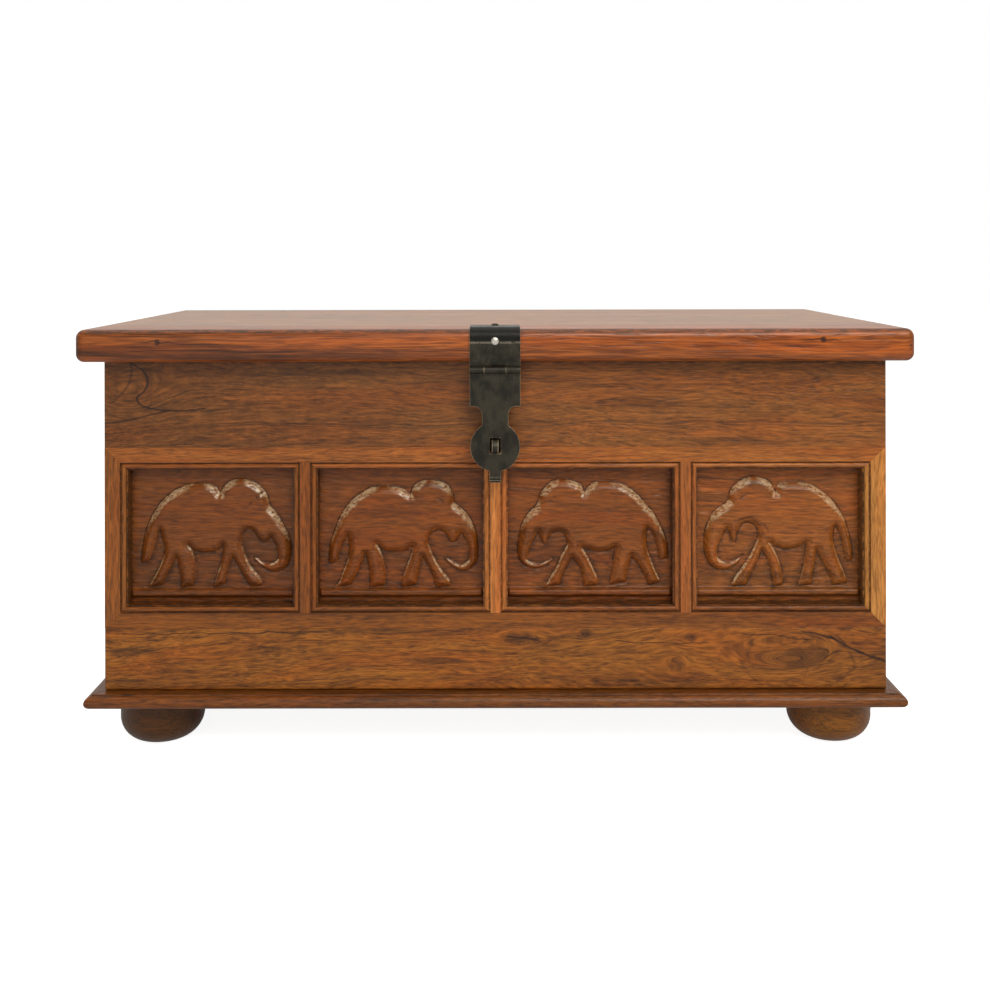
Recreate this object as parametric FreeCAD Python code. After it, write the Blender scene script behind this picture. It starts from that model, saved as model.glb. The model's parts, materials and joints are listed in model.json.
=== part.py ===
import FreeCAD, Part
import math
import os

os.makedirs("parts", exist_ok=True)

Vector = FreeCAD.Vector
ORIGIN = Vector(0, 0, 0)
ALONG_X = Vector(1, 0, 0)
ALONG_Y = Vector(0, 1, 0)
ALONG_Z = Vector(0, 0, 1)

# A low carved hardwood chest, in millimetres. It stands on z 0 and faces -Y.
# The origin lies under the middle of the whole, from the staple's nose to the lid's rear edge.

# Carcase: board below, framed panels between, board above
carcase_width = 850.0
carcase_depth = 400.0
bottom_board_height = 67.5
frame_height = 197.0
top_board_height = 94.5
wall_thickness = 32.0
back_thickness = 22.0
back_board_count = 3
board_foot_chamfer = 2.0

# Mitred frames: a bead stuck on every edge in front, a plain chamfer on the ends
frame_member_width = 24.5
muntin_width = 27.0
front_opening_count = 4
end_opening_count = 2
quirk_width = 1.6
bead_radius = 2.5
fillet_width = 1.4
fillet_depth = 3.5
end_chamfer = 6.0

# Panels in their grooves, and the carving on the front ones
panel_recess = 18.0
panel_thickness = 9.0
groove_depth = 8.0
panel_play = 0.4
relief_height = 6.0
relief_bevel_height = 2.6
relief_bevel_inset = 2.0
carved_chord = 0.6

# Base moulding, floor and feet
base_thickness = 15.0
base_projection = 18.0
base_width = 118.0
base_quirk = 1.5
floor_thickness = 12.0
floor_board_count = 3
floor_play = 0.5
foot_height = 51.0
foot_radius = 46.0
foot_flat_radius = 20.0
foot_straight_height = 25.0
foot_chord_count = 4
foot_inset = 50.0

# Lid
lid_thickness = 35.0
lid_overhang = 25.0
lid_edge_radius = 9.0
front_plank_width = 68.0
second_plank_width = 112.0
batten_width = 60.0
batten_thickness = 20.0
batten_side_clearance = 8.0
batten_end_clearance = 5.0

# Lid hinges, in the corner under the lid's rear overhang
hinge_centre_x = 260.0
hinge_width = 60.0
hinge_leaf_thickness = 2.0
hinge_knuckle_radius = 4.0
hinge_pin_radius = 2.0
hinge_gap = 0.3
body_leaf_drop = 40.0
lid_leaf_reach = 16.0
knuckle_play = 0.3
pin_play = 0.05

# Hasp: strap over the lid's edge, plate on a pin, staple in the front
strap_width = 54.0
strap_thickness = 2.5
strap_top_length = 43.0
strap_joggle = 4.0
strap_joggle_top = 4.0
hasp_axis_drop = 8.6
hasp_knuckle_radius = 3.75
hasp_middle_knuckle = 23.0
hasp_pin_radius = 1.5
hasp_shoulder_drop = 38.5
hasp_shoulder_radius = 9.0
hasp_neck_width = 28.0
hasp_disc_drop = 82.0
hasp_disc_radius = 26.5
slot_drop = 81.0
slot_width = 12.3
slot_height = 17.0
tab_length = 7.0
tab_curl_radius = 4.0
eye_stand_off = 5.5
eye_radius = 3.5
eye_outer_radius = 7.25
staple_width = 7.0
staple_leg = 3.5
staple_clench = 14.0
staple_play = 0.2

# One overrun serves every cut
overrun = 2.0

# The elephant, facing -X, as shares of its opening's width and height from its middle
head_shares = [(-0.301, 0.254), (-0.298, 0.300), (-0.270, 0.354), (-0.229, 0.399),
               (-0.174, 0.427), (-0.120, 0.429), (-0.065, 0.401), (-0.014, 0.315)]
back_shares = [(-0.014, 0.315), (0.002, 0.364), (0.034, 0.383), (0.147, 0.384), (0.277, 0.312),
               (0.373, 0.191), (0.428, 0.042), (0.454, -0.108), (0.454, -0.196)]
tail_tip_shares = [(0.454, -0.196), (0.418, -0.196)]
tail_inside_shares = [(0.418, -0.196), (0.402, -0.125), (0.388, -0.042), (0.356, 0.062)]
hind_leg_back_shares = [(0.356, 0.062), (0.342, -0.042), (0.358, -0.125), (0.431, -0.390)]
hind_leg_foot_shares = [(0.431, -0.390), (0.335, -0.390)]
hind_fork_shares = [(0.335, -0.390), (0.284, -0.233), (0.240, -0.112), (0.228, -0.230),
                    (0.205, -0.390)]
second_foot_shares = [(0.205, -0.390), (0.120, -0.390)]
second_leg_front_shares = [(0.120, -0.390), (0.157, -0.208), (0.173, -0.065)]
belly_shares = [(0.173, -0.065), (0.106, -0.104), (0.051, -0.114), (0.003, -0.102), (-0.050, -0.060)]
third_leg_back_shares = [(-0.050, -0.060), (0.005, -0.183), (0.036, -0.390)]
third_foot_shares = [(0.036, -0.390), (-0.040, -0.390)]
fore_fork_shares = [(-0.040, -0.390), (-0.062, -0.200), (-0.096, -0.117), (-0.150, -0.271),
                    (-0.195, -0.390)]
fore_foot_shares = [(-0.195, -0.390), (-0.291, -0.390)]
fore_leg_front_shares = [(-0.291, -0.390), (-0.222, -0.250), (-0.157, -0.125), (-0.123, 0.000)]
chest_shares = [(-0.123, 0.000), (-0.150, 0.075), (-0.185, 0.087), (-0.219, 0.071), (-0.248, -0.052)]
tusk_tip_shares = [(-0.248, -0.052), (-0.268, -0.060)]
tusk_shares = [(-0.268, -0.060), (-0.292, -0.017), (-0.308, 0.050)]
trunk_inside_shares = [(-0.308, 0.050), (-0.357, -0.075), (-0.363, -0.171), (-0.308, -0.210),
                       (-0.230, -0.146)]
trunk_tip_shares = [(-0.230, -0.146), (-0.205, -0.176)]
trunk_outside_shares = [(-0.205, -0.176), (-0.284, -0.254), (-0.380, -0.256), (-0.445, -0.150),
                        (-0.433, 0.067), (-0.366, 0.191), (-0.301, 0.254)]
elephant_shares = [head_shares, back_shares, tail_tip_shares, tail_inside_shares,
                   hind_leg_back_shares, hind_leg_foot_shares, hind_fork_shares,
                   second_foot_shares, second_leg_front_shares, belly_shares,
                   third_leg_back_shares, third_foot_shares, fore_fork_shares,
                   fore_foot_shares, fore_leg_front_shares, chest_shares, tusk_tip_shares,
                   tusk_shares, trunk_inside_shares, trunk_tip_shares, trunk_outside_shares]
ledge_top_share = -0.400
ledge_foot_share = -0.462

# Worked out from the sizes above
moulding_width = fillet_width + 2 * bead_radius + quirk_width
panel_back = panel_recess + panel_thickness
half_width = carcase_width / 2
plate_back = lid_overhang - strap_joggle
plate_front = plate_back + strap_thickness
eye_distance = plate_front + eye_stand_off
staple_reach = eye_distance + eye_outer_radius
front_y = staple_reach - (staple_reach + carcase_depth + lid_overhang) / 2
back_y = front_y + carcase_depth
inner_front_y = front_y + wall_thickness
inner_back_y = back_y - back_thickness
middle_y = (front_y + back_y) / 2
end_wall_length = inner_back_y - inner_front_y
end_middle_y = (inner_front_y + inner_back_y) / 2
base_top_z = foot_height + base_thickness
frame_foot_z = base_top_z + bottom_board_height
frame_middle_z = frame_foot_z + frame_height / 2
frame_top_z = frame_foot_z + frame_height
carcase_top_z = frame_top_z + top_board_height
lid_top_z = carcase_top_z + lid_thickness
lid_front_y = front_y - lid_overhang
lid_back_y = back_y + lid_overhang
hasp_axis_y = front_y - plate_back - hasp_knuckle_radius
hasp_axis_z = carcase_top_z - hasp_axis_drop
staple_z = hasp_axis_z - slot_drop
hinge_offset = hinge_knuckle_radius + hinge_gap
hinge_axis_y = back_y + hinge_offset
hinge_axis_z = carcase_top_z - hinge_offset


def box(x, y, z):
    """A block between the low and high values of x, y and z."""
    corner = Vector(x[0], y[0], z[0])
    return Part.makeBox(x[1] - x[0], y[1] - y[0], z[1] - z[0], corner)


def flat_face(corners, bends=()):
    """A flat face round the corners, where side number i is an arc through bends[i]."""
    bends = dict(bends)
    sides = []
    for i, start in enumerate(corners):
        end = corners[(i + 1) % len(corners)]
        if i in bends:
            sides.append(Part.Arc(start, bends[i], end).toShape())
        else:
            sides.append(Part.makeLine(start, end))
    return Part.Face(Part.Wire(sides))


def turned(shape, axis, angle):
    """A copy turned about an axis through the origin."""
    copy = shape.copy()
    copy.rotate(ORIGIN, axis, angle)
    return copy


def moved(shape, x, y, z):
    """A copy moved by x, y and z."""
    copy = shape.copy()
    copy.translate(Vector(x, y, z))
    return copy


def save(name, *solids):
    """Writes one sub-part, which may be a group of like solids."""
    shape = solids[0] if len(solids) == 1 else Part.makeCompound(list(solids))
    shape.exportStep("parts/" + name + ".step")


# The frame of a wall, made with its face at y 0 and its middle at x 0, z 0


def front_section(width):
    """A member below its opening: fillet, bead, quirk, face, and the panel's groove."""
    bead_end = fillet_width + 2 * bead_radius
    corners = [at(0, fillet_depth), at(fillet_width, fillet_depth), at(fillet_width, bead_radius),
               at(bead_end, bead_radius), at(moulding_width, bead_radius), at(moulding_width, 0)]
    bead = {2: at(fillet_width + bead_radius, 0)}
    return flat_face(corners + plain_corners(width), bead)


def end_section(width):
    """The same member with a plain chamfer instead of the bead."""
    return flat_face([at(0, end_chamfer), at(end_chamfer, 0)] + plain_corners(width))


def at(u, v):
    """A section's point: u from the opening's edge into the wood, v back from the face."""
    return Vector(0, v, -u)


def plain_corners(width):
    """The rest of a member's section, with the groove that holds the panel."""
    return [at(width, 0), at(width, wall_thickness), at(0, wall_thickness), at(0, panel_back),
            at(groove_depth, panel_back), at(groove_depth, panel_recess), at(0, panel_recess)]


def member_blank(section, length, width):
    """A moulded length along X, its opening's edge at z 0 and its wood below."""
    return moved(section(width).extrude(Vector(length, 0, 0)), -length / 2, 0, 0)


def wall_prism(points):
    """A polygon of x and z, carried through the wall's thickness."""
    return flat_face([Vector(x, 0, z) for x, z in points]).extrude(Vector(0, wall_thickness, 0))


def muntin_end(x, mitre):
    """The mitred end of a muntin, where it enters a member from z 0 downwards."""
    wide = muntin_width / 2
    narrow = wide - mitre
    return wall_prism([(x - wide, 0), (x + wide, 0), (x + narrow, -mitre), (x - narrow, -mitre)])


def frame_member(section, mitre, length, seats):
    """A rail or stile with mitred ends, cut for the muntins at the seats."""
    far = length / 2
    near = far - frame_member_width
    mitred = wall_prism([(-far, -frame_member_width), (far, -frame_member_width), (near, 0), (-near, 0)])
    member = member_blank(section, length, frame_member_width).common(mitred)
    for x in seats:
        member = member.cut(muntin_end(x, mitre))
    return member


def muntin(section, mitre, clear_height):
    """An upright between two openings, moulded and grooved on both edges."""
    one_edge = member_blank(section, clear_height + 2 * mitre, muntin_width)
    other_edge = moved(turned(one_edge, ALONG_Y, 180), 0, 0, -muntin_width)
    upright = turned(moved(one_edge.common(other_edge), 0, 0, muntin_width / 2), ALONG_Y, 90)
    wide = muntin_width / 2
    narrow = wide - mitre
    end = clear_height / 2
    tip = end + mitre
    shape = wall_prism([(-wide, -end), (-narrow, -tip), (narrow, -tip), (wide, -end),
                        (wide, end), (narrow, tip), (-narrow, tip), (-wide, end)])
    return upright.common(shape)


def clear_size(width, openings):
    """The width and height of each opening in a frame."""
    wood = 2 * frame_member_width + (openings - 1) * muntin_width
    return (width - wood) / openings, frame_height - 2 * frame_member_width


def frame_pieces(section, mitre, width, openings):
    """Top rail, bottom rail, left stile, right stile and the muntins, in place round the middle."""
    clear_width, clear_height = clear_size(width, openings)
    pitch = clear_width + muntin_width
    seats = [pitch * (i - (openings - 2) / 2) for i in range(openings - 1)]
    rail = frame_member(section, mitre, width, seats)
    stile = frame_member(section, mitre, frame_height, [])
    upright = muntin(section, mitre, clear_height)
    inner_x = width / 2 - frame_member_width
    top_rail = moved(turned(rail, ALONG_Y, 180), 0, 0, clear_height / 2)
    bottom_rail = moved(rail, 0, 0, -clear_height / 2)
    left_stile = moved(turned(stile, ALONG_Y, 90), -inner_x, 0, 0)
    right_stile = moved(turned(stile, ALONG_Y, -90), inner_x, 0, 0)
    return top_rail, bottom_rail, left_stile, right_stile, [moved(upright, x, 0, 0) for x in seats]


def opening_centres(width, openings):
    """The x of each opening's middle."""
    pitch = clear_size(width, openings)[0] + muntin_width
    return [pitch * (i - (openings - 1) / 2) for i in range(openings)]


def plain_panel(width, openings):
    """A flat panel that fills its grooves, with its opening's middle at x 0, z 0."""
    clear_width, clear_height = clear_size(width, openings)
    half_x = clear_width / 2 + groove_depth - panel_play
    half_z = clear_height / 2 + groove_depth - panel_play
    return box((-half_x, half_x), (panel_recess, panel_back), (-half_z, half_z))


def elephant_outline(facing):
    """Points round the elephant on the panel's ground; facing is 1 for +X and -1 for -X."""
    clear_width, clear_height = clear_size(carcase_width, front_opening_count)
    outline = []
    for run in elephant_shares:
        points = [Vector(-facing * u * clear_width, panel_recess, w * clear_height) for u, w in run]
        if len(points) > 2:
            curve = Part.BSplineCurve()
            curve.interpolate(points)
            points = curve.discretize(Deflection=carved_chord)
        outline.extend(points[:-1])
    return outline if facing < 0 else outline[::-1]


def drawn_in(outline, inset):
    """The outline moved inwards by the inset, each corner along the line that halves it."""
    inner = []
    for i, point in enumerate(outline):
        before = point - outline[i - 1]
        after = outline[(i + 1) % len(outline)] - point
        before.normalize()
        after.normalize()
        along = before + after
        inner.append(point - along.cross(ALONG_Y) * (2 * inset / along.dot(along)))
    return inner


def elephant(facing):
    """The relief: upright sides, then a bevel all round up to a flat top."""
    outline = elephant_outline(facing)
    depths = [panel_recess, panel_recess - relief_height + relief_bevel_height,
              panel_recess - relief_height]
    rings = [outline, outline, drawn_in(outline, relief_bevel_inset)]
    rings = [[Vector(p.x, y, p.z) for p in points] for points, y in zip(rings, depths)]
    faces = [Part.Face(Part.makePolygon(points + points[:1])) for points in (rings[0], rings[-1])]
    for low, high in zip(rings, rings[1:]):
        for i in range(len(outline)):
            corners = [low[i - 1], low[i], high[i], high[i - 1]]
            faces.append(Part.Face(Part.makePolygon(corners + corners[:1])))
    return Part.Solid(Part.Shell(faces))


def carved_panel(facing):
    """A front panel with its elephant on a raised ledge, all left standing from one board."""
    clear_width, clear_height = clear_size(carcase_width, front_opening_count)
    half_x = clear_width / 2 - panel_play
    ledge = box((-half_x, half_x), (panel_recess - relief_height, panel_recess),
                (ledge_foot_share * clear_height, ledge_top_share * clear_height))
    ground = plain_panel(carcase_width, front_opening_count)
    return ground.fuse([ledge, elephant(facing)]).removeSplitter()


def front_frame():
    """The carved front between its two boards."""
    top_rail, bottom_rail, left_stile, right_stile, uprights = frame_pieces(
        front_section, moulding_width, carcase_width, front_opening_count)
    names = ["front_left_muntin", "front_centre_muntin", "front_right_muntin"]
    save("front_top_rail", moved(top_rail, 0, front_y, frame_middle_z))
    save("front_bottom_rail", moved(bottom_rail, 0, front_y, frame_middle_z))
    save("front_left_stile", moved(left_stile, 0, front_y, frame_middle_z))
    save("front_right_stile", moved(right_stile, 0, front_y, frame_middle_z))
    for name, upright in zip(names, uprights):
        save(name, moved(upright, 0, front_y, frame_middle_z))
    for number, x in enumerate(opening_centres(carcase_width, front_opening_count), 1):
        facing = 1 if x < 0 else -1
        save("carved_panel_" + str(number), moved(carved_panel(facing), x, front_y, frame_middle_z))


def footed_board(width):
    """The board under a frame, with its lower front edge eased; its face at y 0, its foot at z 0."""
    board = box((-width / 2, width / 2), (0, wall_thickness), (0, bottom_board_height))
    edge = [e for e in board.Edges if e.BoundBox.YMax < board_foot_chamfer
            and e.BoundBox.ZMax < board_foot_chamfer]
    return board.makeChamfer(board_foot_chamfer, edge)


def staple_hole():
    """The square hole that the staple's two legs go through."""
    half_x = staple_width / 2 + staple_play
    half_z = staple_leg + staple_play
    return box((-half_x, half_x), (front_y - overrun, inner_front_y + overrun),
               (staple_z - half_z, staple_z + half_z))


def front_boards():
    """The wide boards above and below the front's frame."""
    save("front_bottom_board", moved(footed_board(carcase_width), 0, front_y, base_top_z))
    top = box((-half_width, half_width), (front_y, inner_front_y), (frame_top_z, carcase_top_z))
    save("front_top_board", top.cut(staple_hole()))


def end_wall(side, angle):
    """A boarded and framed end; angle turns its face from -Y to its own side."""
    x = -half_width if side == "left" else half_width
    top_rail, bottom_rail, low_x_stile, high_x_stile, uprights = frame_pieces(
        end_section, end_chamfer, end_wall_length, end_opening_count)
    half = end_wall_length / 2
    top_board = box((-half, half), (0, wall_thickness), (0, top_board_height))
    panel = plain_panel(end_wall_length, end_opening_count)
    low_x, high_x = opening_centres(end_wall_length, end_opening_count)
    low_name, high_name = ("back", "front") if side == "left" else ("front", "back")
    pieces = [("top_rail", top_rail, frame_middle_z), ("bottom_rail", bottom_rail, frame_middle_z),
              (low_name + "_stile", low_x_stile, frame_middle_z),
              (high_name + "_stile", high_x_stile, frame_middle_z),
              ("muntin", uprights[0], frame_middle_z),
              (low_name + "_panel", moved(panel, low_x, 0, 0), frame_middle_z),
              (high_name + "_panel", moved(panel, high_x, 0, 0), frame_middle_z),
              ("top_board", top_board, frame_top_z),
              ("bottom_board", footed_board(end_wall_length), base_top_z)]
    for name, piece, z in pieces:
        save(side + "_" + name, moved(turned(piece, ALONG_Z, angle), x, end_middle_y, z))


def back_boards():
    """Plain boards across the back, lapping the ends."""
    height = (carcase_top_z - base_top_z) / back_board_count
    for i, name in enumerate(["back_bottom_board", "back_middle_board", "back_top_board"]):
        low = base_top_z + i * height
        save(name, box((-half_width, half_width), (inner_back_y, back_y), (low, low + height)))


def floor_boards():
    """Loose-laid boards inside the walls, carried by the base frame."""
    width = (end_wall_length - 2 * floor_play) / floor_board_count
    end = half_width - wall_thickness - floor_play
    start = inner_front_y + floor_play
    boards = [box((-end, end), (start + i * width, start + (i + 1) * width),
                  (base_top_z, base_top_z + floor_thickness)) for i in range(floor_board_count)]
    save("floor_boards", *boards)


# Base frame and feet


def base_section():
    """The moulding's section: flat top, small step, and a half-round nose towards -Y."""
    nose = (base_thickness - base_quirk) / 2
    inner = base_width - base_projection

    def at(y, z):
        return Vector(0, y, z)

    corners = [at(inner, 0), at(inner, base_thickness), at(nose - base_projection, base_thickness),
               at(nose - base_projection, 2 * nose), at(nose - base_projection, 0)]
    return flat_face(corners, {3: at(-base_projection, nose)})


def base_piece(length):
    """One mitred side of the base frame, the carcase's face at y 0 and its underside at z 0."""
    far = length / 2 + base_projection
    near = far - base_width
    blank = moved(base_section().extrude(Vector(2 * far, 0, 0)), -far, 0, 0)
    inner = base_width - base_projection
    plan = [Vector(-far, -base_projection, 0), Vector(far, -base_projection, 0),
            Vector(near, inner, 0), Vector(-near, inner, 0)]
    return blank.common(flat_face(plan).extrude(Vector(0, 0, base_thickness)))


def base_frame():
    """Four mitred pieces; each foot sits under a mitre."""
    long_piece = base_piece(carcase_width)
    short_piece = base_piece(carcase_depth)
    for name, piece, angle, x, y in [("front", long_piece, 0, 0, front_y),
                                     ("back", long_piece, 180, 0, back_y),
                                     ("left", short_piece, -90, -half_width, middle_y),
                                     ("right", short_piece, 90, half_width, middle_y)]:
        save(name + "_base_moulding", moved(turned(piece, ALONG_Z, angle), x, y, foot_height))


def foot():
    """A turned foot: short straight side, then a quarter ellipse in to the flat sole."""
    round_height = foot_height - foot_straight_height
    round_width = foot_radius - foot_flat_radius
    profile = [ORIGIN]
    for i in range(foot_chord_count + 1):
        angle = math.radians(90 * i / foot_chord_count)
        profile.append(Vector(foot_flat_radius + round_width * math.sin(angle), 0,
                              round_height * (1 - math.cos(angle))))
    profile += [Vector(foot_radius, 0, foot_height), Vector(0, 0, foot_height), ORIGIN]
    return Part.Face(Part.makePolygon(profile)).revolve(ORIGIN, ALONG_Z, 360)


def feet():
    """The same foot at the four corners."""
    out = half_width - foot_inset
    save("feet", *[moved(foot(), x, y, 0) for x in (-out, out)
                   for y in (front_y + foot_inset, back_y - foot_inset)])


# Lid


def lid_planks():
    """Four planks through from end to end, split from one slab with a rounded edge all round."""
    reach = half_width + lid_overhang
    slab = box((-reach, reach), (lid_front_y, lid_back_y), (carcase_top_z, lid_top_z))
    level = [e for e in slab.Edges if e.BoundBox.ZLength < lid_edge_radius]
    slab = slab.makeFillet(lid_edge_radius, level)
    second = lid_front_y + front_plank_width
    third = second + second_plank_width
    fourth = (third + lid_back_y) / 2
    cuts = [("lid_front_plank", lid_front_y - overrun, second), ("lid_second_plank", second, third),
            ("lid_third_plank", third, fourth), ("lid_back_plank", fourth, lid_back_y + overrun)]
    for name, low, high in cuts:
        part = box((-reach - overrun, reach + overrun), (low, high),
                   (carcase_top_z - overrun, lid_top_z + overrun))
        save(name, slab.common(part))


def lid_battens():
    """Two battens across the planks, inside the walls."""
    y = (inner_front_y + batten_end_clearance, inner_back_y - batten_end_clearance)
    z = (carcase_top_z - batten_thickness, carcase_top_z)
    outer = half_width - wall_thickness - batten_side_clearance
    inner = outer - batten_width
    save("lid_battens", box((-outer, -inner), y, z), box((inner, outer), y, z))


# Lid hinges


def knuckle_span(x, index):
    """The low and high x of one of a hinge's three knuckles."""
    width = hinge_width / 3
    low = x - hinge_width / 2 + index * width
    return low, low + width


def lid_hinge(side, x):
    """One butt hinge: a leaf on the back and two knuckles, a leaf under the lid and one knuckle."""
    def barrel(radius, low, high):
        return Part.makeCylinder(radius, high - low, Vector(low, hinge_axis_y, hinge_axis_z), ALONG_X)

    low, high = x - hinge_width / 2, x + hinge_width / 2
    first, last = knuckle_span(x, 0), knuckle_span(x, 2)
    inner = (first[1] - knuckle_play, last[0] + knuckle_play)
    middle = (first[1], last[0])
    clearance = hinge_knuckle_radius + knuckle_play
    bore = barrel(hinge_pin_radius + pin_play, low - overrun, high + overrun)

    body_leaf = box((low, high), (back_y, back_y + hinge_leaf_thickness),
                    (hinge_axis_z - body_leaf_drop, hinge_axis_z))
    body_leaf = body_leaf.cut(box((inner[0], inner[1]), (back_y - overrun, hinge_axis_y),
                                  (hinge_axis_z - clearance, hinge_axis_z + overrun)))
    body_leaf = body_leaf.fuse([barrel(hinge_knuckle_radius, low, inner[0]),
                                barrel(hinge_knuckle_radius, inner[1], high)]).cut(bore)
    save(side + "_hinge_body_leaf", body_leaf)

    lid_leaf = box((low, high), (hinge_axis_y, hinge_axis_y + lid_leaf_reach),
                   (carcase_top_z - hinge_leaf_thickness, carcase_top_z))
    for notch in ((low - overrun, middle[0]), (middle[1], high + overrun)):
        lid_leaf = lid_leaf.cut(box(notch, (hinge_axis_y - overrun, hinge_axis_y + clearance),
                                    (hinge_axis_z, carcase_top_z + overrun)))
    lid_leaf = lid_leaf.fuse(barrel(hinge_knuckle_radius, middle[0], middle[1])).cut(bore)
    save(side + "_hinge_lid_leaf", lid_leaf)


def pin(radius, low, high, y, z):
    """A plain pin along X, as long as its barrel."""
    return Part.makeCylinder(radius, high - low, Vector(low, y, z), ALONG_X)


def lid_hinges():
    """Both hinges with their pins."""
    lid_hinge("left", -hinge_centre_x)
    lid_hinge("right", hinge_centre_x)
    half = hinge_width / 2
    save("hinge_pins", *[pin(hinge_pin_radius, x - half, x + half, hinge_axis_y, hinge_axis_z)
                         for x in (-hinge_centre_x, hinge_centre_x)])


# Hasp


def hasp_barrel(radius, low, high):
    """A cylinder on the hasp's pin axis."""
    return Part.makeCylinder(radius, high - low, Vector(low, hasp_axis_y, hasp_axis_z), ALONG_X)


def hasp_strap():
    """Bent over the lid's edge, set back below it, and rolled round the pin at each side."""
    half = strap_width / 2

    def at(y, z):
        return Vector(-half, y, z)

    outer_y = lid_front_y - strap_thickness
    outer_z = lid_top_z + strap_thickness
    end_y = lid_front_y + strap_top_length
    bend_y = lid_front_y + lid_edge_radius
    bend_z = lid_top_z - lid_edge_radius
    leaf_back = front_y - plate_back
    leaf_front = front_y - plate_front
    set_z = carcase_top_z + strap_joggle_top
    low_z = hasp_axis_z + hasp_knuckle_radius
    diagonal = 0.5 ** 0.5
    outer_bend = (lid_edge_radius + strap_thickness) * diagonal
    inner_bend = lid_edge_radius * diagonal
    corners = [at(end_y, outer_z), at(bend_y, outer_z), at(outer_y, bend_z), at(outer_y, set_z),
               at(leaf_front, low_z), at(leaf_front, hasp_axis_z), at(leaf_back, hasp_axis_z),
               at(leaf_back, low_z), at(lid_front_y, set_z), at(lid_front_y, bend_z),
               at(bend_y, lid_top_z), at(end_y, lid_top_z)]
    bends = {1: at(bend_y - outer_bend, bend_z + outer_bend),
             9: at(bend_y - inner_bend, bend_z + inner_bend)}
    strap = flat_face(corners, bends).extrude(Vector(strap_width, 0, 0))
    reach = hasp_knuckle_radius + knuckle_play
    gap = hasp_middle_knuckle / 2 + knuckle_play
    strap = strap.cut(box((-gap, gap), (leaf_front - overrun, leaf_back + overrun),
                          (hasp_axis_z - reach, hasp_axis_z + reach)))
    strap = strap.fuse([hasp_barrel(hasp_knuckle_radius, -half, -gap),
                        hasp_barrel(hasp_knuckle_radius, gap, half)])
    return strap.cut(hasp_barrel(hasp_pin_radius + pin_play, -half - overrun, half + overrun))


def hasp_plate():
    """Square shoulders, a waist and a round end with the slot, and a curled finger tab."""
    half = strap_width / 2
    neck = hasp_neck_width / 2
    plate_y = front_y - plate_front
    top = hasp_axis_z - hasp_knuckle_radius - knuckle_play
    shoulder = hasp_axis_z - hasp_shoulder_drop
    disc_z = hasp_axis_z - hasp_disc_drop

    def at(x, z):
        return Vector(x, plate_y, z)

    through = Vector(0, strap_thickness, 0)
    step = half - neck - hasp_shoulder_radius
    scoop = hasp_shoulder_radius * (1 - 0.5 ** 0.5)
    waist = shoulder - hasp_shoulder_radius
    corners = [at(-half, top), at(half, top), at(half, shoulder), at(half - step, shoulder),
               at(neck, waist), at(neck, disc_z), at(-neck, disc_z), at(-neck, waist),
               at(step - half, shoulder), at(-half, shoulder)]
    bends = {3: at(neck + scoop, waist + hasp_shoulder_radius - scoop),
             7: at(-neck - scoop, waist + hasp_shoulder_radius - scoop)}
    body = flat_face(corners, bends).extrude(through)
    disc = Part.makeCylinder(hasp_disc_radius, strap_thickness, at(0, disc_z), ALONG_Y)
    middle = hasp_middle_knuckle / 2
    leaf = box((-middle, middle), (plate_y, plate_y + strap_thickness), (top, hasp_axis_z))
    plate = body.fuse([disc, leaf, hasp_barrel(hasp_knuckle_radius, -middle, middle), finger_tab()])
    plate = plate.cut(hasp_barrel(hasp_pin_radius + pin_play, -half, half))
    slot_z = (staple_z - slot_height / 2, staple_z + slot_height / 2)
    slot = box((-slot_width / 2, slot_width / 2), (plate_y - overrun, front_y), slot_z)
    return plate.cut(slot).removeSplitter()


def finger_tab():
    """The narrow tab below the round end, its tip curled forwards."""
    half = slot_width / 2
    back = front_y - plate_back
    front = back - strap_thickness
    start = hasp_axis_z - hasp_disc_drop - hasp_disc_radius + strap_thickness
    bend = start - tab_length
    inner = tab_curl_radius
    outer = tab_curl_radius + strap_thickness
    diagonal = 0.5 ** 0.5
    centre_y = front - inner

    def at(y, z):
        return Vector(-half, y, z)

    corners = [at(back, start), at(back, bend), at(centre_y, bend - outer), at(centre_y, bend - inner),
               at(front, bend), at(front, start)]
    bends = {1: at(centre_y + outer * diagonal, bend - outer * diagonal),
             3: at(centre_y + inner * diagonal, bend - inner * diagonal)}
    return flat_face(corners, bends).extrude(Vector(slot_width, 0, 0))


def hasp_staple():
    """A bar doubled into an eye, both legs through one hole and clenched apart inside."""
    half = staple_width / 2
    eye_y = front_y - eye_distance
    eye = Part.makeCylinder(eye_outer_radius, staple_width, Vector(-half, eye_y, staple_z), ALONG_X)
    legs = box((-half, half), (eye_y, inner_front_y), (staple_z - staple_leg, staple_z + staple_leg))
    reach = staple_leg + staple_clench
    clench = box((-half, half), (inner_front_y, inner_front_y + staple_leg),
                 (staple_z - reach, staple_z + reach))
    hole = Part.makeCylinder(eye_radius, staple_width + 2 * overrun,
                             Vector(-half - overrun, eye_y, staple_z), ALONG_X)
    return eye.fuse([legs, clench]).cut(hole)


def hasp():
    """The strap, its plate and pin, and the staple."""
    save("hasp_strap", hasp_strap())
    save("hasp_plate", hasp_plate())
    save("hasp_pin", pin(hasp_pin_radius, -strap_width / 2, strap_width / 2, hasp_axis_y, hasp_axis_z))
    save("hasp_staple", hasp_staple())


front_boards()
front_frame()
end_wall("left", -90)
end_wall("right", 90)
back_boards()
floor_boards()
base_frame()
feet()
lid_planks()
lid_battens()
lid_hinges()
hasp()
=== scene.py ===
import json
import math

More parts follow.
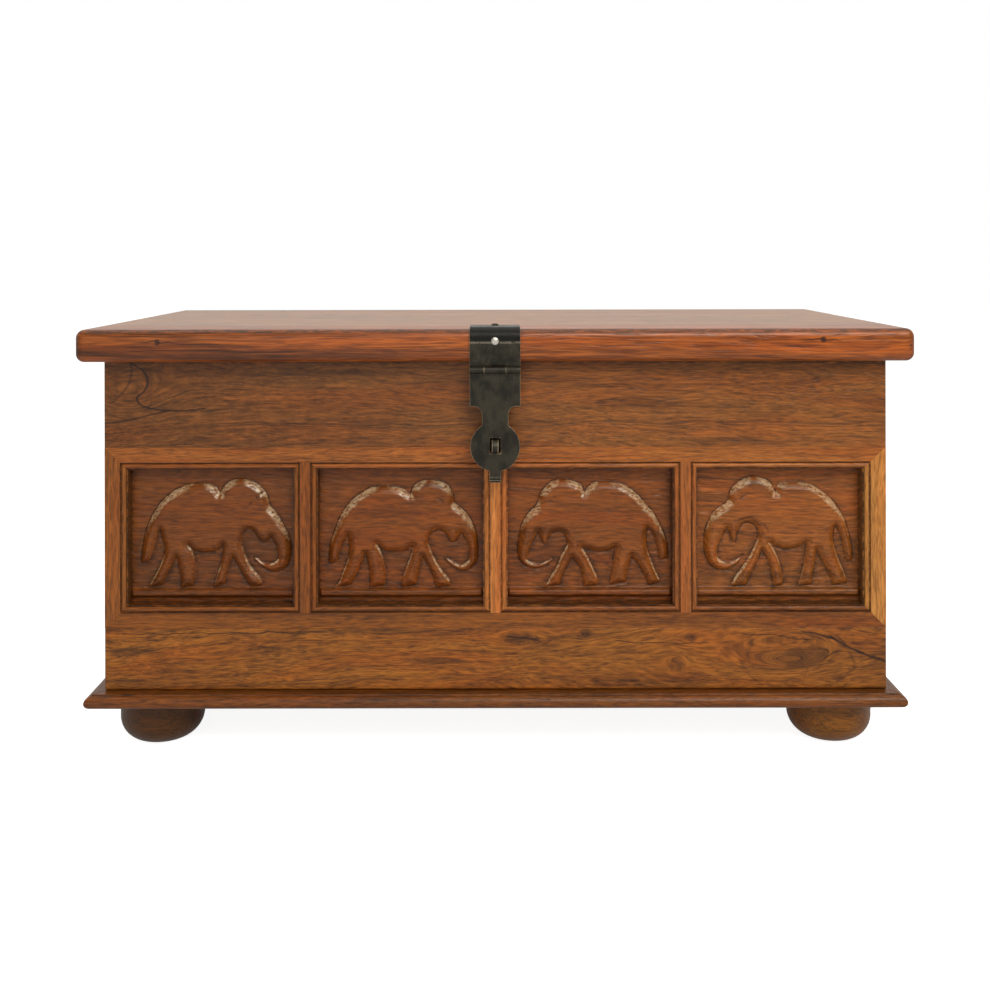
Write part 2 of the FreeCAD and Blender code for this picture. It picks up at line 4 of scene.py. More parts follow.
import bmesh
import bpy
import numpy as np
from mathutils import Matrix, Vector

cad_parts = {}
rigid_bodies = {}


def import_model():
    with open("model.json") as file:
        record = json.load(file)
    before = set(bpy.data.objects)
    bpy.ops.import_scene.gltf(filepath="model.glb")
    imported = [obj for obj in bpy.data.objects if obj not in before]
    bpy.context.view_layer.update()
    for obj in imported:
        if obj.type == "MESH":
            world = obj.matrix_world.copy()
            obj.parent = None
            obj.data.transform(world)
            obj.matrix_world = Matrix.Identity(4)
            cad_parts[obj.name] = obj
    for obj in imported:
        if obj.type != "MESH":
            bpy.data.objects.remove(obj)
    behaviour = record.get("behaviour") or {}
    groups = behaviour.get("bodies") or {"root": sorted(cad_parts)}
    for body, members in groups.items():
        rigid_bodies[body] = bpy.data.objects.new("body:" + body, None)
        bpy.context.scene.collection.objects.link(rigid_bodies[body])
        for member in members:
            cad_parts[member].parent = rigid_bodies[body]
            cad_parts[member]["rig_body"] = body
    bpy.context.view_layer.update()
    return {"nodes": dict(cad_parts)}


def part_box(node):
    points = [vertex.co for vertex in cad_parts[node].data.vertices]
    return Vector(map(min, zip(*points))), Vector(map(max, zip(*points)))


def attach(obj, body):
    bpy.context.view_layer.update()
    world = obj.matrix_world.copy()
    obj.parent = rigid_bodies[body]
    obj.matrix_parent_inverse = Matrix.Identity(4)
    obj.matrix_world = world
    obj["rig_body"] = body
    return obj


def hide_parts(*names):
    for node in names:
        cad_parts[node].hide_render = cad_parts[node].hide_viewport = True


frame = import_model()


# Front boards: one wide hardwood board above the carved frame and one below it, flat sawn, stained
# warm brown and waxed. Veins curl past a knot at the upper one's left end and rust has crept round
# its staple; the lower one has knots and a large oval figure at its right end.
def node(tree, kind, inputs=None, **settings):
    """Adds a shader node; inputs names its sockets, each with a value or another node's output."""
    made = tree.nodes.new(kind)
    for name, value in settings.items():
        setattr(made, name, value)
    for name, value in (inputs or {}).items():
        if isinstance(value, bpy.types.NodeSocket):
            tree.links.new(value, made.inputs[name])
        else:
            made.inputs[name].default_value = value
    return made


def calc(tree, operation, *values, clamp=False):
    """The result of a Math node on numbers or outputs."""
    made = node(tree, "ShaderNodeMath", dict(enumerate(values)), operation=operation)
    made.use_clamp = clamp
    return made.outputs[0]


def shifted(tree, operation, first, second):
    """The result of a Vector Math node on two vectors."""
    made = node(tree, "ShaderNodeVectorMath", {0: first, 1: second}, operation=operation)
    return made.outputs["Vector"]


def length_of(tree, vector):
    """How long a vector is."""
    return node(tree, "ShaderNodeVectorMath", {0: vector}, operation="LENGTH").outputs["Value"]


def dot(tree, first, second):
    """The dot product of two vectors."""
    made = node(tree, "ShaderNodeVectorMath", {0: first, 1: second}, operation="DOT_PRODUCT")
    return made.outputs["Value"]


def axes(tree, place):
    """A vector's three parts, by the names X, Y and Z."""
    return node(tree, "ShaderNodeSeparateXYZ", {"Vector": place}).outputs


def eased_step(tree, value, low, high, start=0.0, end=1.0):
    """Goes smoothly from start to end as value goes from low to high."""
    made = node(tree, "ShaderNodeMapRange", {"Value": value, "From Min": low, "From Max": high,
                "To Min": start, "To Max": end}, interpolation_type="SMOOTHSTEP")
    return made.outputs["Result"]


def mixed(tree, share, first, second):
    """The first colour where share is 0 and the second where it is 1."""
    made = node(tree, "ShaderNodeMix", {0: share, 6: first, 7: second}, data_type="RGBA")
    return made.outputs[2]


def noise(tree, vector, scale, detail=2.0, roughness=0.5):
    """Cloudy noise between 0 and 1, its vector stretched by scale along each axis."""
    made = node(tree, "ShaderNodeTexNoise", {"Vector": shifted(tree, "MULTIPLY", vector, scale),
                "Scale": 1.0, "Detail": detail, "Roughness": roughness})
    return made.outputs["Fac"]


def row_noise(tree, value, detail=2.0, roughness=0.5):
    """Noise between 0 and 1 along one running value."""
    made = node(tree, "ShaderNodeTexNoise", {"W": value, "Scale": 1.0, "Detail": detail,
                "Roughness": roughness}, noise_dimensions="1D")
    return made.outputs["Fac"]


def wander(tree, vector, scale, detail, roughness, reach):
    """A vector of noise that strays to both sides of zero, by half of reach along each axis."""
    made = node(tree, "ShaderNodeTexNoise", {"Vector": shifted(tree, "MULTIPLY", vector, scale),
                "Scale": 1.0, "Detail": detail, "Roughness": roughness}).outputs["Color"]
    return shifted(tree, "MULTIPLY", shifted(tree, "SUBTRACT", made, (0.5, 0.5, 0.5)), reach)


def effect(name, inputs, outputs):
    """An empty node group with these sockets; gives the tree, its inputs and its outputs."""
    tree = bpy.data.node_groups.new(name, "ShaderNodeTree")
    for side, sockets in (("INPUT", inputs), ("OUTPUT", outputs)):
        for socket, kind in sockets.items():
            tree.interface.new_socket(socket, in_out=side, socket_type="NodeSocket" + kind)
    start = node(tree, "NodeGroupInput")
    end = node(tree, "NodeGroupOutput")
    return tree, start.outputs, end.inputs


def used(tree, group, inputs):
    """Puts a node group to use with these inputs; gives its outputs."""
    return node(tree, "ShaderNodeGroup", inputs, node_tree=group).outputs


def fresh_material(name):
    """A new material, its node tree and its shader."""
    material = bpy.data.materials.new(name)
    material.use_nodes = True
    return material, material.node_tree, material.node_tree.nodes["Principled BSDF"]


def rough_skin(tree, shader, roughness, height, strength, distance):
    """Gives the shader its roughness and a fine relief."""
    tree.links.new(roughness, shader.inputs["Roughness"])
    bump = node(tree, "ShaderNodeBump", {"Strength": strength, "Distance": distance,
                "Height": height})
    tree.links.new(bump.outputs["Normal"], shader.inputs["Normal"])


def placed(name, data):
    """A new object of this mesh, lamp or camera, put in the scene."""
    made = bpy.data.objects.new(name, data)
    bpy.context.scene.collection.objects.link(made)
    return made


def stain(code):
    """A colour written as six hex digits, with each channel taken from sRGB to linear light."""
    parts = np.array([int(code[i:i + 2], 16) for i in (0, 2, 4)]) / 255
    linear = np.where(parts <= 0.04045, parts / 12.92, ((parts + 0.055) / 1.055) ** 2.4)
    return (*linear.tolist(), 1.0)


grain, given, out = effect(
    "flat_sawn_grain",
    {"Vector": "Vector", "Light": "Color", "Dark": "Color", "Vein": "Color", "Figure": "Float",
     "Veins": "Float", "Contrast": "Float"},
    {"Color": "Color", "Roughness": "Float", "Height": "Float"})
wavy = shifted(grain, "ADD", given["Vector"], wander(
    grain, given["Vector"], (2.6, 9.0, 9.0), 3.0, 0.55, (0.0, 0.04, 0.04)))
wavy = shifted(grain, "ADD", wavy, wander(
    grain, given["Vector"], (17.0, 60.0, 60.0), 2.0, 0.5, (0.0, 0.004, 0.004)))
radius = length_of(grain, shifted(grain, "MULTIPLY", wavy, (0, 1, 1)))
rings = row_noise(grain, calc(grain, "MULTIPLY", radius, 160.0), 5.0, 0.66)
streaks = noise(grain, wavy, (7.0, 280.0, 280.0), 4.0, 0.65)
fibres = noise(grain, wavy, (60.0, 560.0, 560.0), 2.0, 0.55)
clouds = noise(grain, given["Vector"], (4.0, 20.0, 20.0), 3.0, 0.55)
tone = calc(grain, "MULTIPLY_ADD", calc(grain, "SUBTRACT", rings, 0.5), given["Figure"], 0.5)
for pattern, strength in ((streaks, 2.2), (fibres, 2.6), (clouds, 1.0)):
    tone = calc(grain, "MULTIPLY_ADD", calc(grain, "SUBTRACT", pattern, 0.5), strength, tone)
tone = calc(grain, "MULTIPLY_ADD", calc(grain, "SUBTRACT", tone, 0.5), given["Contrast"], 0.5,
            clamp=True)
timber = mixed(grain, tone, given["Dark"], given["Light"])
heart_red = eased_step(grain, noise(grain, wavy, (3.0, 45.0, 45.0), 3.0, 0.6), 0.40, 0.70)
timber = mixed(grain, heart_red, timber, shifted(grain, "MULTIPLY", timber, (1.05, 0.88, 0.74)))
bands = eased_step(grain, noise(grain, wavy, (3.2, 70.0, 70.0), 4.0, 0.68), 0.50, 0.68, 0.0, 0.75)
timber = mixed(grain, calc(grain, "MULTIPLY", bands, given["Veins"]), timber, given["Vein"])
line = calc(grain, "ABSOLUTE", calc(grain, "SUBTRACT", row_noise(
    grain, calc(grain, "MULTIPLY", radius, 85.0), 2.0), 0.52))
line = eased_step(grain, line, 0.0, 0.02, 1.0, 0.0)
where = eased_step(grain, noise(grain, given["Vector"], (2.2, 12.0, 12.0), 1.0), 0.44, 0.62)
line = calc(grain, "MULTIPLY", calc(grain, "MULTIPLY", line, where), given["Veins"])
timber = mixed(grain, line, timber, given["Vein"])
pores = eased_step(grain, noise(grain, wavy, (65.0, 430.0, 430.0), 1.0), 0.58, 0.68)
pores_seen = calc(grain, "MULTIPLY", pores, calc(grain, "MULTIPLY", given["Contrast"], 0.45))
timber = mixed(grain, pores_seen, timber, given["Vein"])
grain.links.new(timber, out["Color"])
grain.links.new(calc(grain, "MULTIPLY_ADD", streaks, 0.16, 0.30), out["Roughness"])
relief = calc(grain, "SUBTRACT", calc(grain, "MULTIPLY_ADD", fibres, 0.6, streaks), pores)
grain.links.new(relief, out["Height"])

# The grain parts round a knot as water does round a stone: heights above and below its middle are
# pressed away by one over the squared distance, and inside it curls back in closed loops.
knot, given, out = effect("round_knot", {"Vector": "Vector", "Middle": "Vector", "Reach": "Vector"},
                          {"Vector": "Vector", "Eye": "Float"})
away = shifted(knot, "SUBTRACT", given["Vector"], given["Middle"])
ratio = shifted(knot, "DIVIDE", away, given["Reach"])
square = dot(knot, ratio, ratio)
press = calc(knot, "MINIMUM", square, calc(knot, "DIVIDE", 1.0, calc(
    knot, "MAXIMUM", square, 0.001)))
press = node(knot, "ShaderNodeCombineXYZ", {"X": 0.0, "Y": press, "Z": press}).outputs[0]
pressed = shifted(knot, "SUBTRACT", given["Vector"], shifted(knot, "MULTIPLY", away, press))
knot.links.new(pressed, out["Vector"])
ragged = noise(knot, given["Vector"], (300.0, 300.0, 300.0))
ragged = calc(knot, "MULTIPLY_ADD", ragged, 0.9, square)
knot.links.new(eased_step(knot, ragged, 0.7, 1.7, 1.0, 0.0), out["Eye"])

# A vein is a thin dark oval, its edge made ragged and broken by noise. A split is a thin dark line
# from one point to another that wavers and fades at its ends.
vein_line, given, out = effect("oval_vein", {"Vector": "Vector", "Middle": "Vector",
                                             "Reach": "Vector"}, {"Line": "Float"})
away = shifted(vein_line, "SUBTRACT", given["Vector"], given["Middle"])
ratio = length_of(vein_line, shifted(vein_line, "DIVIDE", away, given["Reach"]))
waver = noise(vein_line, given["Vector"], (28.0, 60.0, 60.0), 4.0, 0.55)
off = calc(vein_line, "ABSOLUTE", calc(vein_line, "MULTIPLY_ADD", waver, 0.4,
                                       calc(vein_line, "SUBTRACT", ratio, 1.2)))
thick = calc(vein_line, "MULTIPLY", noise(vein_line, given["Vector"], (25.0, 40.0, 40.0)), 0.09)
broken = eased_step(vein_line, noise(vein_line, given["Vector"], (40.0, 70.0, 70.0)), 0.35, 0.5)
line = eased_step(vein_line, calc(vein_line, "DIVIDE", off, thick), 0.3, 1.1, 1.0, 0.0)
vein_line.links.new(calc(vein_line, "MULTIPLY", line, broken), out["Line"])

split, given, out = effect("split_line", {"Vector": "Vector", "Start": "Vector", "End": "Vector",
                                          "Width": "Float"}, {"Line": "Float"})
along_line = shifted(split, "SUBTRACT", given["End"], given["Start"])
from_start = shifted(split, "SUBTRACT", given["Vector"], given["Start"])
run = calc(split, "DIVIDE", dot(split, from_start, along_line), dot(split, along_line, along_line))
foot_point = node(split, "ShaderNodeVectorMath", {0: along_line, "Scale": run},
                  operation="SCALE").outputs["Vector"]
beside = shifted(split, "SUBTRACT", from_start, foot_point)
waver = wander(split, given["Vector"], (45.0, 45.0, 45.0), 4.0, 0.5, (0.0, 0.0, 0.009))
beside = shifted(split, "MULTIPLY", shifted(split, "ADD", beside, waver), (1.0, 0.0, 1.0))
beside = length_of(split, beside)
ends = calc(split, "ABSOLUTE", calc(split, "SUBTRACT", run, 0.5))
line = eased_step(split, calc(split, "DIVIDE", beside, given["Width"]), 0.1, 1.0, 1.0, 0.0)
split.links.new(calc(split, "MULTIPLY", line, eased_step(split, ends, 0.38, 0.5, 1.0, 0.0)),
                out["Line"])

# Dust, old wax and painted shade: a dark film laid on by a mask, thicker and thinner from place to
# place.
film, given, out = effect("settled_dirt", {"Vector": "Vector", "Color": "Color", "Dirt": "Color",
                                           "Mask": "Float"}, {"Color": "Color"})
patchy = noise(film, given["Vector"], (90.0, 260.0, 260.0), 3.0, 0.65)
share = calc(film, "MULTIPLY", given["Mask"], eased_step(film, patchy, 0.35, 0.6, 0.3, 1.0),
             clamp=True)
film.links.new(mixed(film, share, given["Color"], given["Dirt"]), out["Color"])

dirt_brown = stain("231305")
turn_to_grain = {"X": (0.0, 0.0, 0.0), "Y": (0.0, 0.0, math.pi / 2), "Z": (0.0, -math.pi / 2, 0.0)}


def wood(name, light, dark, vein, along, heart, lean=(0.0, 0.0), figure=0.9, veins=0.5, knots=(),
         ovals=(), splits=(), dirt=None, painted_highlight=None, gloss=0.0, stretch=1.0, contrast=0.65,
         specular=0.3, marks=None):
    """Waxed wood with its grain along one axis, cut from a log whose pith passes through heart and
    leans by two small angles. One function may give the mask of a dark film, which is dirt and
    stains on some pieces and painted shade on others; another gives a painted highlight's mask;
    marks may give dark marks."""
    material, tree, shader = fresh_material(name)
    place = node(tree, "ShaderNodeTexCoord").outputs["Object"]
    flow, eyes = place, []
    for middle, reach, dark_eye in knots:
        knotted = used(tree, knot, {"Vector": flow, "Middle": middle, "Reach": reach})
        flow = knotted["Vector"]
        eyes.append(calc(tree, "MULTIPLY", knotted["Eye"], dark_eye))
    angles = turn_to_grain[along]
    spun = (angles[0], angles[1] + lean[0], angles[2] + lean[1])
    cut = node(tree, "ShaderNodeMapping", {"Vector": flow, "Location": heart, "Rotation": spun,
               "Scale": (stretch, 1.0, 1.0)}, vector_type="TEXTURE").outputs[0]
    sawn = used(tree, grain, {"Vector": cut, "Light": stain(light), "Dark": stain(dark),
                              "Vein": stain(vein), "Figure": figure, "Veins": veins,
                              "Contrast": contrast})
    colour = sawn["Color"]
    for middle, reach, depth in ovals:
        lined = used(tree, vein_line, {"Vector": flow, "Middle": middle, "Reach": reach})
        eyes.append(calc(tree, "MULTIPLY", lined["Line"], depth))
    for start, end, width in splits:
        lined = used(tree, split, {"Vector": place, "Start": start, "End": end, "Width": width})
        eyes.append(lined["Line"])
    if marks:
        eyes += marks(tree, place)
    for eye in eyes:
        colour = mixed(tree, calc(tree, "MULTIPLY", eye, 0.85), colour, stain(vein))
    # A dark film laid on by a mask: dirt and stains on some pieces, painted shade on others.
    if dirt:
        colour = used(tree, film, {"Vector": place, "Color": colour, "Dirt": dirt_brown,
                                   "Mask": dirt(tree, place)})["Color"]
    # Painted highlight: a pale cream mixed into the colour where the mask finds edges that face up,
    # which also get a glossy coat.
    if painted_highlight:
        brightening = painted_highlight(tree, place)
        colour = mixed(tree, calc(tree, "MULTIPLY", brightening, 0.5), colour, stain("E0C49C"))
        tree.links.new(brightening, shader.inputs["Coat Weight"])
        shader.inputs["Coat Roughness"].default_value = 0.25
    tree.links.new(colour, shader.inputs["Base Color"])
    rough = calc(tree, "ADD", sawn["Roughness"], gloss)
    rough_skin(tree, shader, rough, sawn["Height"], 0.35, 0.0006)
    shader.inputs["Specular IOR Level"].default_value = specular
    return material


def eased(name, radius, *materials):
    """A copy of a CAD piece with its loose triangles joined and every sharp edge rounded. The
    radius must stay under half the shortest side that it runs beside."""
    source = frame["nodes"][name]
    mesh = source.data.copy()
    mesh.materials.clear()
    for material in materials:
        mesh.materials.append(material)
    mesh.polygons.foreach_set("material_index", np.zeros(len(mesh.polygons), dtype=np.int32))
    body = bmesh.new()
    body.from_mesh(mesh)
    bmesh.ops.remove_doubles(body, verts=body.verts, dist=1e-6)
    bmesh.ops.dissolve_limit(body, angle_limit=math.radians(0.4), verts=body.verts,
                             edges=body.edges)
    body.to_mesh(mesh)
    body.free()
    if "custom_normal" in mesh.attributes:
        mesh.attributes.remove(mesh.attributes["custom_normal"])
    mesh.polygons.foreach_set("use_smooth", np.ones(len(mesh.polygons), dtype=bool))
    piece = placed(name + "_finished", mesh)
    edge = piece.modifiers.new("eased_edges", "BEVEL")
    edge.width = radius
    edge.segments = 2
    edge.limit_method = "ANGLE"
    edge.angle_limit = math.radians(32)
    edge.harden_normals = True
    # The rounded edges take the last material: for iron, the lighter edge iron, rubbed wear with a
    # painted highlight.
    edge.material = len(materials) - 1
    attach(piece, source["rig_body"])
    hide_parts(name)
    return piece


def wooden(name, radius, *looks, **more):
    """A CAD piece with its edges eased and a wood of its own."""
    return eased(name, radius, wood(name + "_wood", *looks, **more))


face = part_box("front_top_board")[0].y
top_knots = [((-0.400, face, 0.415), (0.042, 0.03, 0.034), 0.0)]
top_ovals = [((-0.402, face, 0.412), (0.030, 0.03, 0.028), 0.35)]
swirl_lines = [
    ("Z", "X", 0.0026, 1.0, [(0.3765, -0.3835), (0.3800, -0.3882), (0.3836, -0.3896),
                             (0.3917, -0.3819), (0.4013, -0.3778), (0.4126, -0.3819),
                             (0.4207, -0.3931), (0.4300, -0.4060)]),
    ("X", "Z", 0.0017, 1.0, [(-0.3905, 0.3830), (-0.3867, 0.3778), (-0.3756, 0.3733),
                             (-0.3564, 0.3707), (-0.3373, 0.3707), (-0.3120, 0.3736)]),
    ("X", "Z", 0.0015, 0.9, [(-0.4300, 0.3562), (-0.3947, 0.3611), (-0.3756, 0.3659),
                             (-0.3520, 0.3712)]),
    ("Z", "X", 0.0022, 0.6, [(0.3760, -0.4210), (0.3820, -0.4138), (0.3933, -0.4027),
                             (0.4062, -0.3963), (0.4207, -0.3963), (0.4300, -0.3990)])]
staple_low, staple_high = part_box("hasp_staple")


def round_staple(tree, place):
    """A rust stain in an oval round the staple's hole, hidden behind the hasp but for its slot."""
    away = shifted(tree, "SUBTRACT", place, (0.0, face, (staple_low.z + staple_high.z) / 2))
    away = shifted(tree, "DIVIDE", away, (0.0090, 1.0, 0.0125))
    return eased_step(tree, length_of(tree, away), 0.85, 1.1, 3.0, 0.0)


def swirl_veins(tree, place):
    """Dark veins that curve past the knot: each one's height (or its place along the board) is a
    smooth curve through a few points, its edges ragged and its ends faded."""
    parts = axes(tree, place)
    ragged = calc(tree, "SUBTRACT", noise(tree, place, (150.0, 150.0, 150.0), 4.0, 0.6), 0.5)
    veins = []
    for run, side, width, depth, points in swirl_lines:
        (low, _), (high, _) = points[0], points[-1]
        base, top = min(value for _, value in points), max(value for _, value in points)
        share = node(tree, "ShaderNodeMapRange", {
            "Value": parts[run], "From Min": low, "From Max": high}).outputs["Result"]
        drawn = node(tree, "ShaderNodeFloatCurve", {"Value": share})
        spots = drawn.mapping.curves[0].points
        spots[0].location = (0.0, (points[0][1] - base) / (top - base))
        spots[-1].location = (1.0, (points[-1][1] - base) / (top - base))
        for at, value in points[1:-1]:
            spots.new((at - low) / (high - low), (value - base) / (top - base))
        drawn.mapping.update()
        centre = calc(tree, "MULTIPLY_ADD", drawn.outputs["Value"], top - base, base)
        off = calc(tree, "SUBTRACT", parts[side], centre)
        off = calc(tree, "MULTIPLY_ADD", ragged, 0.0024, off)
        vein = eased_step(tree, calc(tree, "ABSOLUTE", off), width * 0.25, width, depth, 0.0)
        ends = calc(tree, "MULTIPLY", share, calc(tree, "SUBTRACT", 1.0, share))
        veins.append(calc(tree, "MULTIPLY", vein, eased_step(tree, ends, 0.0, 0.06)))
    return veins


def board_dirt(tree, place):
    """The staple's rust stain, painted shade in the corner under the lid, and painted shade that
    darkens and greys the left half.
    """
    parts = axes(tree, place)
    # Painted shade: darker just under the lid's overhang, and over the board's left half.
    corner = eased_step(tree, parts["Z"], 0.4150, 0.4235, 0.0, 0.6)
    grey = eased_step(tree, parts["X"], -0.30, 0.06, 0.45, 0.0)
    return calc(tree, "MAXIMUM", round_staple(tree, place), calc(tree, "MAXIMUM", corner, grey))


wooden("front_top_board", 0.0004, "A4622A", "4E2E16", "2A180E", "X", (-0.30, -0.080, 0.720),
       (0.02, 0.06), 0.6, 0.5, top_knots, top_ovals, dirt=board_dirt, contrast=0.55,
       marks=swirl_veins)
low_knots = [((x, face, z), (long, 0.02, high), eye) for x, z, long, high, eye in (
    (0.0256, 0.1224, 0.020, 0.007, 0.7), (0.0975, 0.1279, 0.006, 0.0045, 0.6),
    (0.2115, 0.1224, 0.007, 0.004, 0.7), (0.1963, 0.0952, 0.012, 0.008, 0.4),
    (0.315, 0.110, 0.050, 0.018, 0.0))]
low_ovals = [((0.330, face, 0.1000), (0.060, 0.03, 0.024), 0.45),
             ((0.310, face, 0.1010), (0.030, 0.03, 0.012), 0.3)]
low_splits = [((0.330, face, 0.1310), (0.376, face, 0.1190), 0.0016),
              ((0.360, face, 0.1250), (0.402, face, 0.1035), 0.0024),
              ((0.388, face, 0.1090), (0.436, face, 0.0930), 0.0022),
              ((0.262, face, 0.1280), (0.350, face, 0.1200), 0.0010),
              ((0.010, face, 0.1235), (0.050, face, 0.1205), 0.0016),
              ((0.120, face, 0.1190), (0.240, face, 0.1165), 0.0009),
              ((-0.420, face, 0.1270), (-0.180, face, 0.1300), 0.0009)]
wooden("front_bottom_board", 0.0009, "AA6622", "583010", "22120A", "X", (0.33, -0.100, -0.180),
       (-0.03, 0.10), 0.8, 0.8, low_knots, low_ovals, low_splits, contrast=0.65)


# Front frame: rails, stiles and three muntins, mitred, with a bead worked on every edge round the
# panels. Lighter on its flats, with painted shade beside the bead and in the step behind it.
def shade_behind_face(tree, place):
    """Painted shade that grows with the depth behind the front's face, from the quirk to the
    panels' step, but not on the chest's two ends."""
    parts = axes(tree, place)
    inwards = calc(tree, "LESS_THAN", calc(tree, "ABSOLUTE", parts["X"]), front_end - 0.001)
    return calc(tree, "MULTIPLY", inwards, eased_step(
        tree, parts["Y"], front_face + 0.0008, front_face + 0.0032, 0.0, 0.85))


front_face, front_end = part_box("front_top_rail")[0].y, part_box("front_top_rail")[1].x
frame_woods = {
    "front_top_rail": ("B2682A", "6C3C18", "2A180D", "X", (0.10, -0.150, 0.420)),
    "front_bottom_rail": ("98561C", "562E10", "24140B", "X", (-0.20, -0.140, 0.030)),
    "front_left_stile": ("A8642A", "643A16", "2A180D", "Z", (-0.45, -0.150, 0.200)),
    "front_right_stile": ("D08C46", "88541E", "3A2212", "Z", (0.46, -0.140, 0.260)),
    "front_left_muntin": ("985820", "5A3210", "24140B", "Z", (-0.24, -0.140, 0.150)),
    "front_centre_muntin": ("D48240", "8E5220", "2A180D", "Z", (0.05, -0.150, 0.250)),
    "front_right_muntin": ("B06830", "6C3E18", "33200F", "Z", (0.24, -0.150, 0.100)),
}


def shade_and_staple_rust(tree, place):
    """Painted shade behind the face, and the rust stain round the staple's hole."""
    return calc(tree, "MAXIMUM", shade_behind_face(tree, place), round_staple(tree, place))


for number, (name, (light, dark, vein, along, heart)) in enumerate(frame_woods.items()):
    dirt = shade_and_staple_rust if name == "front_top_rail" else shade_behind_face
    wooden(name, 0.0001, light, dark, vein, along, heart, (0.02 * (number % 3 - 1), 0.015), 0.8,
           0.35, dirt=dirt)
